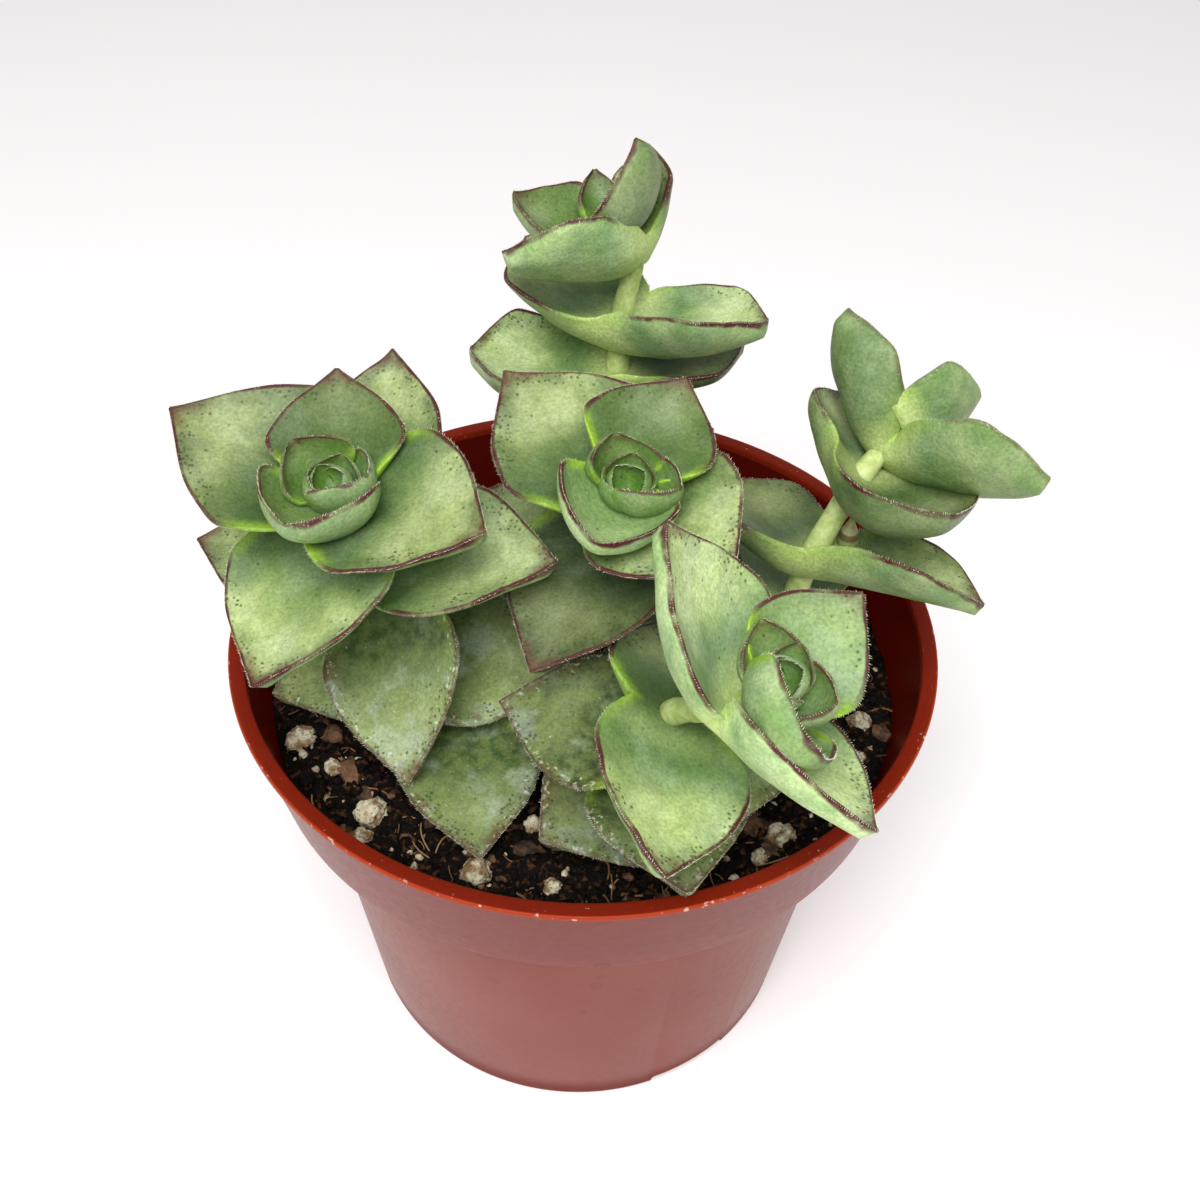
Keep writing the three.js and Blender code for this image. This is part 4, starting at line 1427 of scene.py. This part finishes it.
@dataclass(frozen=True)
class LeafyStem:
    """One stem with its pairs of leaves and the fringe on their margins."""

    node: str
    root: tuple[float, float]
    pairs: tuple[Pair, ...]
    crown: Point = (0.0, -0.4, 1.0)  # the way that the newest pairs face
    shaper: LeafShaper = LeafShaper()
    soil_level: float = 40.0
    buried: float = 9.0
    upright: float = 3.0
    radius: float = 1.05
    flare: float = 0.06  # how much thicker the stem is at a pair
    flare_reach: float = 1.3
    top_taper: float = 0.3
    end_round: float = 2.4
    thinnest: float = 0.15  # the stem's very end, as a share of its radius
    knobs: float = 0.03
    sides: int = 20
    tube_spacing: float = 0.45
    papilla_spacing: float = 0.2
    papilla_length: float = 0.24
    papilla_width: float = 0.035
    papilla_lean: float = 0.45
    papilla_sunk: float = 0.03
    papilla_scales: tuple[float, float] = (0.45, 1.35)

    def line(self) -> np.ndarray:
        """Gives the places that the stem passes through, from the soil up."""
        x, y = self.root
        level, deep = self.soil_level, self.buried
        starts = [(x, y, level - deep), (x, y, level - deep / 2), (x, y, level + self.upright / 2)]
        return np.array(starts + [pair.at for pair in self.pairs], float)

    def smooth_line(self) -> np.ndarray:
        """Gives close points on the smooth curve through the stem's places."""
        line = self.line()
        ends = np.concatenate([[2 * line[0] - line[1]], line, [2 * line[-1] - line[-2]]])
        points = []
        for before, start, end, after in zip(ends, ends[1:], ends[2:], ends[3:]):
            knots = [0.0]
            for one, two in ((before, start), (start, end), (end, after)):
                knots.append(knots[-1] + max(np.linalg.norm(two - one), 1e-3) ** 0.5)
            count = max(1, round(float(np.linalg.norm(end - start)) / self.tube_spacing))
            for share in np.arange(count) / count:
                time = knots[1] + (knots[2] - knots[1]) * share
                points.append(self.on_curve((before, start, end, after), knots, time))
        points.append(line[-1])
        return np.array(points)

    @staticmethod
    def on_curve(places: tuple[np.ndarray, ...], knots: list[float], time: float) -> np.ndarray:
        """Gives one point of the curve through four places.

        Args:
            places: the four places.
            knots: the time at each of them.
            time: the time of the point, between the second and the third.

        Returns:
            The point.
        """
        level = list(places)
        for span in (1, 2):
            for index in range(4 - span):
                low, high = knots[index], knots[index + span]
                share = (time - low) / (high - low)
                level[index] = (1 - share) * level[index] + share * level[index + 1]
        share = (time - knots[1]) / (knots[2] - knots[1])
        return (1 - share) * level[0] + share * level[1]

    def add_tube(self, shell: Shell) -> None:
        """Adds the stem itself, thicker where a pair grows from it."""
        line = self.smooth_line()
        nodes = [np.array(pair.at) for pair in self.pairs]
        rings = []
        side = np.array([1.0, 0.0, 0.0])
        for index, spot in enumerate(line):
            ahead = line[min(index + 1, len(line) - 1)] - line[max(index - 1, 0)]
            ahead = ahead / np.linalg.norm(ahead)
            side = side - ahead * np.dot(side, ahead)
            side = side / np.linalg.norm(side)
            other = np.cross(ahead, side)
            near = max(math.exp(-((np.linalg.norm(spot - node) / self.flare_reach) ** 2)) for node in nodes)
            newest = 1 - self.top_taper * (index / len(line)) ** 6
            left = np.linalg.norm(line[-1] - spot) / self.end_round
            newest *= max(self.thinnest, math.sqrt(1 - max(0.0, 1 - left) ** 2))
            knob = 1 + self.knobs * math.sin(index * 0.9)
            radius = newest * (self.radius * knob + self.flare * near)
            angles = np.linspace(0, FULL_TURN, self.sides, endpoint=False)[:, None]
            rings.append(spot + radius * (np.cos(angles) * side + np.sin(angles) * other))
        faces = ring_faces(len(rings), self.sides, turned=True)
        faces.append(tuple(reversed(range(self.sides))))
        faces.append(tuple((len(rings) - 1) * self.sides + step for step in range(self.sides)))
        shell.add(np.concatenate(rings), faces, slot=1, tone=0.5, upper=0.5, margin_mm=5.0)

    def add_blade(
        self,
        shell: Shell,
        parts: list[Blade],
        tips: list[np.ndarray],
        form: LeafForm,
        tone: float,
        pale: list[float],
    ) -> None:
        """Adds one closed blade through rows that run from end to end.

        Args:
            shell: the shell that it goes into.
            parts: the blade, or two blades that share their first row.
            tips: the point at each end.
            form: the leaf's form.
            tone: a chance number for the leaf's colour.
            pale: the paleness of each part.
        """
        top, bottom, along, margin = map(np.concatenate, zip(*(part.grids() for part in parts)))
        common = sum(pale) / len(pale)
        paleness = np.concatenate(
            [common + (own - common) * np.clip(part.along / 0.3, 0, 1) for part, own in zip(parts, pale)]
        )
        rows, columns = margin.shape
        rings = np.concatenate([top, bottom[:, -2:0:-1]], axis=1)
        size = rings.shape[1]
        points = np.concatenate([rings.reshape(-1, 3), np.array(tips)])
        upper = np.concatenate([[0.5], np.ones(columns - 2), [0.5], np.zeros(columns - 2)])
        numbers = {"upper": np.append(np.tile(upper, rows), [0.5, 0.5])}
        root = 1.0 if len(parts) == 2 else 0.0
        ends = {"along": (along, [root, 1.0]), "margin_mm": (margin, [0.0, 0.0])}
        ends["paleness"] = (paleness, [pale[0], pale[-1]])
        for name, (grid, last) in ends.items():
            numbers[name] = np.append(np.concatenate([grid, grid[:, -2:0:-1]], axis=1), last)
        faces = ring_faces(rows, size)
        start, end, last_row = rows * size, rows * size + 1, (rows - 1) * size
        for step in range(size):
            following = (step + 1) % size
            faces.append((start, step, following))
            faces.append((end, last_row + following, last_row + step))
        corners = points[np.array([face[:3] for face in faces])]
        outward = np.einsum("ij,ij->i", corners[:, 0], np.cross(corners[:, 1], corners[:, 2])).sum()
        if outward < 0:
            faces = [tuple(reversed(face)) for face in faces]
        shell.add(points, faces, slot=0, age=form.stage, tone=tone, blush=form.blush, **numbers)

    def grow(self) -> tuple[Shell, Rails]:
        """Grows the stem and its leaves.

        Returns:
            The shell, and for each leaf margin its points and its outward directions.
        """
        shell = Shell.empty()
        rails: Rails = []
        line = self.line()
        first_pair = len(line) - len(self.pairs)
        self.add_tube(shell)
        for index, pair in enumerate(self.pairs):
            place = first_pair + index
            node = line[place]
            way = line[min(place + 1, len(line) - 1)] - line[place - 1]
            if pair.axis:
                way = np.array(pair.axis)
            elif pair.age in NEWEST:
                way = np.array(self.crown)
            axis = way / np.linalg.norm(way)
            forms = [leaf.form(pair.age) for leaf in pair.leaves]
            seeds = [sum(map(ord, self.node)) + 31 * index + 7 * number for number in range(len(forms))]
            first = 0.0 if len(forms) == 2 else -self.shaper.overlap
            blades = [
                self.shaper.blade(leaf, form, node, axis, first, seed)
                for leaf, form, seed in zip(pair.leaves, forms, seeds)
            ]
            tips = [blade.centre(-1) for blade in blades]
            tone = np.random.default_rng(seeds[0]).uniform(0.2, 0.8)
            paleness = [leaf.paleness for leaf in pair.leaves]
            if len(blades) == 2:
                turned = blades[0].mirrored()
                top = (turned.top[0] + blades[1].top[0]) / 2
                bottom = (turned.bottom[0] + blades[1].bottom[0]) / 2
                near = self.shaper.joined_to(turned, top, bottom)
                far = self.shaper.joined_to(blades[1], top, bottom)
                flipped = Blade(*(grid[:0:-1] for grid in near.grids()))
                self.add_blade(shell, [flipped, far], tips, forms[1], tone, paleness)
                shown = [near, far]
            else:
                self.add_blade(shell, blades, [blades[0].centre(0), tips[0]], forms[0], tone, paleness)
                shown = blades
            for blade in shown:
                rails.extend(self.margin_rails(blade))
        return shell, rails

    @staticmethod
    def margin_rails(blade: Blade) -> Rails:
        """Gives both margins of a blade past its base, with the directions that point off them."""
        bare_base, splay = 0.12, 0.3
        keep = blade.along[:, 0] > bare_base
        half = blade.top.shape[1] // 2
        middle = (blade.top[:, half] + blade.bottom[:, half]) / 2
        rails = []
        for column, inner in ((0, 3), (-1, -4)):
            points = blade.top[:, column][keep]
            off = points - (blade.top[:, inner] + blade.bottom[:, inner])[keep] / 2
            spread = points - middle[keep]
            off = off / np.linalg.norm(off, axis=1, keepdims=True)
            off = off + splay * spread / np.maximum(np.linalg.norm(spread, axis=1, keepdims=True), 1e-6)
            rails.append((points, off / np.linalg.norm(off, axis=1, keepdims=True)))
        return rails

    def fringe(self, rails: Rails, finish: Material) -> Mesh:
        """Grows the fine papillae along the margins.

        Args:
            rails: the margins' points and outward directions.
            finish: the papillae's material.

        Returns:
            The mesh of all the papillae.
        """
        base = bpy.data.meshes.new("margin_rails")
        points, edges, ways = [], [], []
        for line, outward in rails:
            start = len(points)
            points.extend((line * MM).tolist())
            ways.extend(outward.tolist())
            edges.extend((start + step, start + step + 1) for step in range(len(line) - 1))
        base.from_pydata(points, edges, [])
        layer = base.attributes.new("outward", "FLOAT_VECTOR", "POINT")
        layer.data.foreach_set("vector", np.array(ways, np.float32).ravel())
        tree = Growth(
            self.node + "_fringe",
            Spacing=self.papilla_spacing,
            Length=self.papilla_length,
            Width=self.papilla_width,
            Seed=5,
        )
        seed = tree.given["Seed"]
        rail = tree.add("GeometryNodeMeshToCurve", {0: tree.given["Geometry"]})
        links = {"Curve": rail, "Length": tree.metres("Spacing")}
        even = tree.add("GeometryNodeResampleCurve", links, mode="LENGTH")

        # Each papilla leans its own way off the margin.
        way = tree.add("GeometryNodeInputNamedAttribute", {"Name": "outward"}, data_type="FLOAT_VECTOR")
        chances = {"Min": (-self.papilla_lean,) * 3, "Max": (self.papilla_lean,) * 3, "Seed": seed}
        jitter = tree.add("FunctionNodeRandomValue", chances, data_type="FLOAT_VECTOR")
        lean = tree.add("ShaderNodeVectorMath", {0: way.outputs["Attribute"], 1: jitter}, operation="ADD")
        turn = tree.add("FunctionNodeAlignRotationToVector", {"Vector": lean}, axis="Z")
        cone = {"Vertices": 4, "Side Segments": 1, "Fill Segments": 1, "Radius Top": 0.0}
        cone |= {"Radius Bottom": tree.metres("Width"), "Depth": tree.metres("Length")}
        hair = tree.add("GeometryNodeMeshCone", cone, fill_type="NGON")
        down = (0, 0, -self.papilla_sunk * MM)
        sunk = tree.add("GeometryNodeTransform", {"Geometry": hair, "Translation": down})
        low, high = self.papilla_scales
        chances = {2: low, 3: high, "Seed": seed}
        scale = tree.add("FunctionNodeRandomValue", chances, data_type="FLOAT").outputs[1]
        copies = {"Points": even, "Instance": sunk, "Rotation": turn, "Scale": scale}
        return tree.grown(base, tree.add("GeometryNodeInstanceOnPoints", copies), finish)

    def build(self, skins: list[Material], fringe_skin: Material) -> None:
        """Makes the stem's foliage and its fringe.

        Args:
            skins: the materials of leaf and stem.
            fringe_skin: the material of the papillae.
        """
        shell, rails = self.grow()
        foliage = shell.mesh(self.node + "_foliage", skins)
        for mesh in (foliage, self.fringe(rails, fringe_skin)):
            new_piece(mesh.name, mesh, self.node)


LEFT = (
    Pair(Age.OLD, (-15.8, -4, 47.6), Leaf(203, -6, reach=13), Leaf(345, -6, reach=15)),
    Pair(
        Age.OLD,
        (-16.8, -4.5, 53.8),
        Leaf(277, -32, reach=16.5, breadth=13.5, tilt=14, cup=30, paleness=0.38),
        Leaf(97, 5, reach=13),
    ),
    Pair(
        Age.MATURE,
        (-18.6, -5.2, 60.4),
        Leaf(163, -12, reach=16.5),
        Leaf(343, 9, reach=17, paleness=0.68),
    ),
    Pair(
        Age.MATURE,
        (-19.8, -5.4, 64),
        Leaf(247, -18, reach=16.6, breadth=16, paleness=0.6),
        Leaf(79, 21, reach=16.6),
    ),
    Pair(Age.MATURE, (-20.5, -5.8, 66.7), Leaf(155, 13, paleness=0.38), Leaf(326, 11)),
    Pair(
        Age.YOUNG,
        (-20, -6.4, 67.6),
        Leaf(250, 18, reach=8.6, breadth=12, cup=78, opening=0.3, tilt=14, waist=0.46),
        Leaf(94, 27, reach=10.8, cup=45, bow=0.07, waist=0.46, paleness=0.3),
    ),
    Pair(Age.BUD, (-20.4, -7, 67.9), Leaf(148, 42, reach=5), Leaf(332, 38, reach=4.6, tilt=-30)),
    Pair(Age.CORE, (-20.2, -7.5, 67.9), Leaf(68, 50, reach=3.2), Leaf(250, 40, reach=3.2)),
    Pair(Age.TINY, (-20.2, -7.7, 68.3), Leaf(150, 60), Leaf(335, 60)),
)
CENTRE = (
    Pair(Age.OLD, (2.8, -0.3, 53), Leaf(235, -8, reach=10), Leaf(60, 0, reach=12)),
    Pair(Age.MATURE, (2.7, -2, 58), Leaf(145, -6), Leaf(46, 26, reach=13.6, breadth=10)),
    Pair(
        Age.MATURE,
        (2.6, -3.8, 62.2),
        Leaf(238, -23, reach=15.4, breadth=14.5, tilt=12, paleness=0.02),
        Leaf(76, 13, reach=15),
    ),
    Pair(Age.MATURE, (2.6, -5.2, 66.5), Leaf(131, 14, paleness=0.42), Leaf(312, 0, reach=12.4)),
    Pair(
        Age.YOUNG,
        (2.6, -5.9, 68.2),
        Leaf(256, 8, reach=9.8, breadth=11.5, cup=74, opening=0.35, tilt=-8, waist=0.38, paleness=0.92),
        Leaf(58, 20, reach=11, breadth=12, cup=45, bow=0.07, waist=0.38, paleness=0.4),
    ),
    Pair(
        Age.BUD,
        (2.6, -6.7, 68),
        Leaf(103, 44, reach=4.5, tilt=20, waist=0.42),
        Leaf(326, 24, reach=5.6, tilt=-30, waist=0.42),
    ),
    Pair(Age.CORE, (2.8, -7.2, 67.9), Leaf(75, 48, reach=3.2), Leaf(262, 36, reach=3.2)),
    Pair(Age.TINY, (2.9, -7.4, 68.3), Leaf(165, 60), Leaf(345, 60)),
)
FRONT = (
    Pair(Age.OLD, (5.8, -16.5, 44.6), Leaf(216, 0, reach=12.3, paleness=0.12), Leaf(25, 5, reach=12)),
    Pair(
        Age.OLD,
        (5.7, -17.5, 47.8),
        Leaf(277, 1, reach=14, breadth=13.5, paleness=0.22),
        Leaf(100, 5, reach=13),
    ),
    Pair(
        Age.OLD,
        (5.8, -18.3, 51.6),
        Leaf(160, -5, reach=14.4, breadth=13.5, paleness=0.02),
        Leaf(347, -10, reach=12),
    ),
    Pair(
        Age.MATURE,
        (6.3, -19.5, 55.5),
        Leaf(265, -1, breadth=13.8, paleness=0.7),
        Leaf(89, -7, reach=12.4, breadth=11, cup=8),
    ),
    Pair(
        Age.MATURE,
        (10.5, -24, 61.2),
        Leaf(130, 56, reach=15.2, breadth=16.5, cup=40, paleness=0.94),
        Leaf(308, -1, reach=14.2, breadth=15, cup=46, deep=2.2, paleness=0.92),
        axis=(0.8, -0.2, 0.6),
    ),
    Pair(
        Age.YOUNG,
        (12.6, -25.4, 64.2),
        Leaf(284, 20, reach=9, breadth=10.5, cup=75, opening=0.3, tilt=-34, paleness=0.6),
        Leaf(38, 30, reach=10, breadth=10.8, cup=45, paleness=0.92),
        axis=(0.4, -0.35, 0.8),
    ),
    Pair(Age.BUD, (13, -26, 65.2), Leaf(112, 46, breadth=6), Leaf(318, 24, reach=5, breadth=6)),
    Pair(Age.CORE, (13.1, -26.2, 65.6), Leaf(60, 50, breadth=4.4), Leaf(240, 50, breadth=4.4)),
    Pair(Age.TINY, (13.1, -26.3, 66.2), Leaf(150, 60), Leaf(330, 60)),
)
BACK = (
    Pair(Age.LOOSE, (2.9, 18, 57), Leaf(80, 0), Leaf(260, 0, reach=12, paleness=0.65)),
    Pair(
        Age.LOOSE,
        (3.1, 17.8, 62.7),
        Leaf(176, 5.5, reach=14.2, breadth=15, widest=0.7, cup=48, bow=0.1, opening=0.35, paleness=0.7),
        Leaf(12, 8, reach=12.7, paleness=0.3),
    ),
    Pair(
        Age.LOOSE,
        (3.3, 18.8, 67),
        Leaf(
            340, 14, reach=14.2, breadth=17, widest=0.6, waist=0.65, cup=50, tilt=-6, bow=0.05, paleness=0.7
        ),
        Leaf(135, 18, reach=13.2, breadth=15.5, waist=0.65, bow=0.06),
        axis=(-0.05, 0.25, 1),
    ),
    Pair(
        Age.LOOSE,
        (4, 19.5, 74.6),
        Leaf(204, 10, reach=12.8, tilt=22, paleness=0.75),
        Leaf(78, 42, reach=9.6, breadth=6),
        axis=(-0.1, 0.35, 0.9),
    ),
    Pair(
        Age.YOUNG,
        (1.8, 20.8, 75.4),
        Leaf(302, 71, reach=10.8, breadth=11.5, cup=50, tilt=38, waist=0.5, paleness=0.36),
        axis=(-0.1, 0.35, 0.9),
    ),
    Pair(Age.YOUNG, (1.8, 18.8, 76.2), Leaf(174, 22, reach=9.2, cup=50)),
    Pair(Age.BUD, (1.8, 18.8, 76.8), Leaf(105, 36, reach=5.8, breadth=5)),
)
RIGHT = (
    Pair(Age.LOOSE, (18.2, -3, 51), Leaf(80, 0), Leaf(260, 0, reach=10)),
    Pair(
        Age.LOOSE,
        (19.3, -3.7, 58.4),
        Leaf(335, 0, reach=15, breadth=13, cup=55, tilt=-10, bow=-0.04, deep=2.2),
        Leaf(134, 13, reach=10.6, breadth=14, paleness=0.25),
    ),
    Pair(
        Age.LOOSE,
        (23.3, -0.4, 64.7),
        Leaf(
            305, 12, reach=10, breadth=15.5, waist=0.8, cup=52, bow=0.16, tilt=14, blush=0.45, paleness=0.28
        ),
        Leaf(97, 14, reach=9, breadth=11.5, waist=0.8, cup=45),
        axis=(0.45, 0.4, 0.8),
    ),
    Pair(
        Age.LOOSE,
        (26, 2.5, 65.8),
        Leaf(127, 53, reach=12, breadth=8.2, waist=0.42, paleness=0.4),
        Leaf(331, 5, reach=13.6, breadth=14.5, waist=0.3, blush=0.45, paleness=0.52),
        axis=(0.4, 0.7, 0.6),
    ),
    Pair(
        Age.LOOSE,
        (27.2, 3.9, 65.9),
        Leaf(23, 28, reach=7.4, breadth=13.5, widest=0.65, waist=0.8, blush=0.4),
        axis=(0.4, 0.7, 0.6),
    ),
)
LOW = (
    Pair(
        Age.OLD,
        (-11, -9.5, 43.6),
        Leaf(278, -1, reach=15.3, breadth=12.5, deep=2, paleness=0.36),
        Leaf(98, 4, reach=5, breadth=7, deep=2),
    ),
)
STEMS = (
    LeafyStem("left_leafy_stem", (-14.5, -2), LEFT),
    LeafyStem("centre_leafy_stem", (3, 1), CENTRE),
    LeafyStem("front_leafy_stem", (6, -15.5), FRONT),
    LeafyStem("back_leafy_stem", (2.5, 17), BACK, crown=(0, 0, 1)),
    LeafyStem("right_leafy_stem", (17, -2), RIGHT),
    LeafyStem("low_leafy_stem", (-11, -9.5), LOW),
)


@dataclass(frozen=True)
class BranchStub:
    """The small side bud that rests at a lower pair of the right stem."""

    foot: Point = (22.6, -1.9, 57.7)
    section: tuple[tuple[float, float], ...] = (  # height and radius, from the foot up
        (0.0, 0.95),
        (0.95, 1.0),
        (1.05, 0.88),
        (1.5, 0.88),
        (1.6, 0.74),
        (2.3, 0.46),
        (2.9, 0.2),
    )
    tip: float = 3.1
    sides: int = 24

    def build(self) -> None:
        """Turns the bud's section about its axis."""
        angles = np.linspace(0, FULL_TURN, self.sides, endpoint=False)
        rings = [
            np.stack([radius * np.cos(angles), radius * np.sin(angles), height + 0 * angles], axis=1)
            for height, radius in self.section
        ]
        points = np.concatenate([*rings, [[0.0, 0.0, self.tip]]])
        faces: Faces = [tuple(reversed(range(self.sides)))]
        faces.extend(ring_faces(len(rings), self.sides, turned=True))
        last = (len(rings) - 1) * self.sides
        for side in range(self.sides):
            faces.append((last + side, last + (side + 1) % self.sides, len(points) - 1))
        shell = Shell.empty()
        shell.add(points + np.array(self.foot), faces, slot=0, along=points[:, 2] / self.tip)
        mesh = shell.mesh("branch_stub", [RestingBud().material()])
        new_piece("branch_stub", mesh, "right_leafy_stem")


# ------------------------------------------------------------------ the whole plant


def main() -> None:
    """Builds the camera, the studio, the pot, the soil and the leafy stems, in that order."""
    logging.basicConfig(level=logging.INFO, format="%(message)s")
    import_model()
    StudioCamera().build()
    Studio().build()
    pot = NurseryPot()
    pot.build()
    PottingSoil(pot).build()
    skins = [WaxyLeaf().material(), StemSkin().material()]
    fringe_skin = Papilla().material()
    for stem in STEMS:
        stem.build(skins, fringe_skin)
    BranchStub().build()


if __name__ == "__main__":
    main()
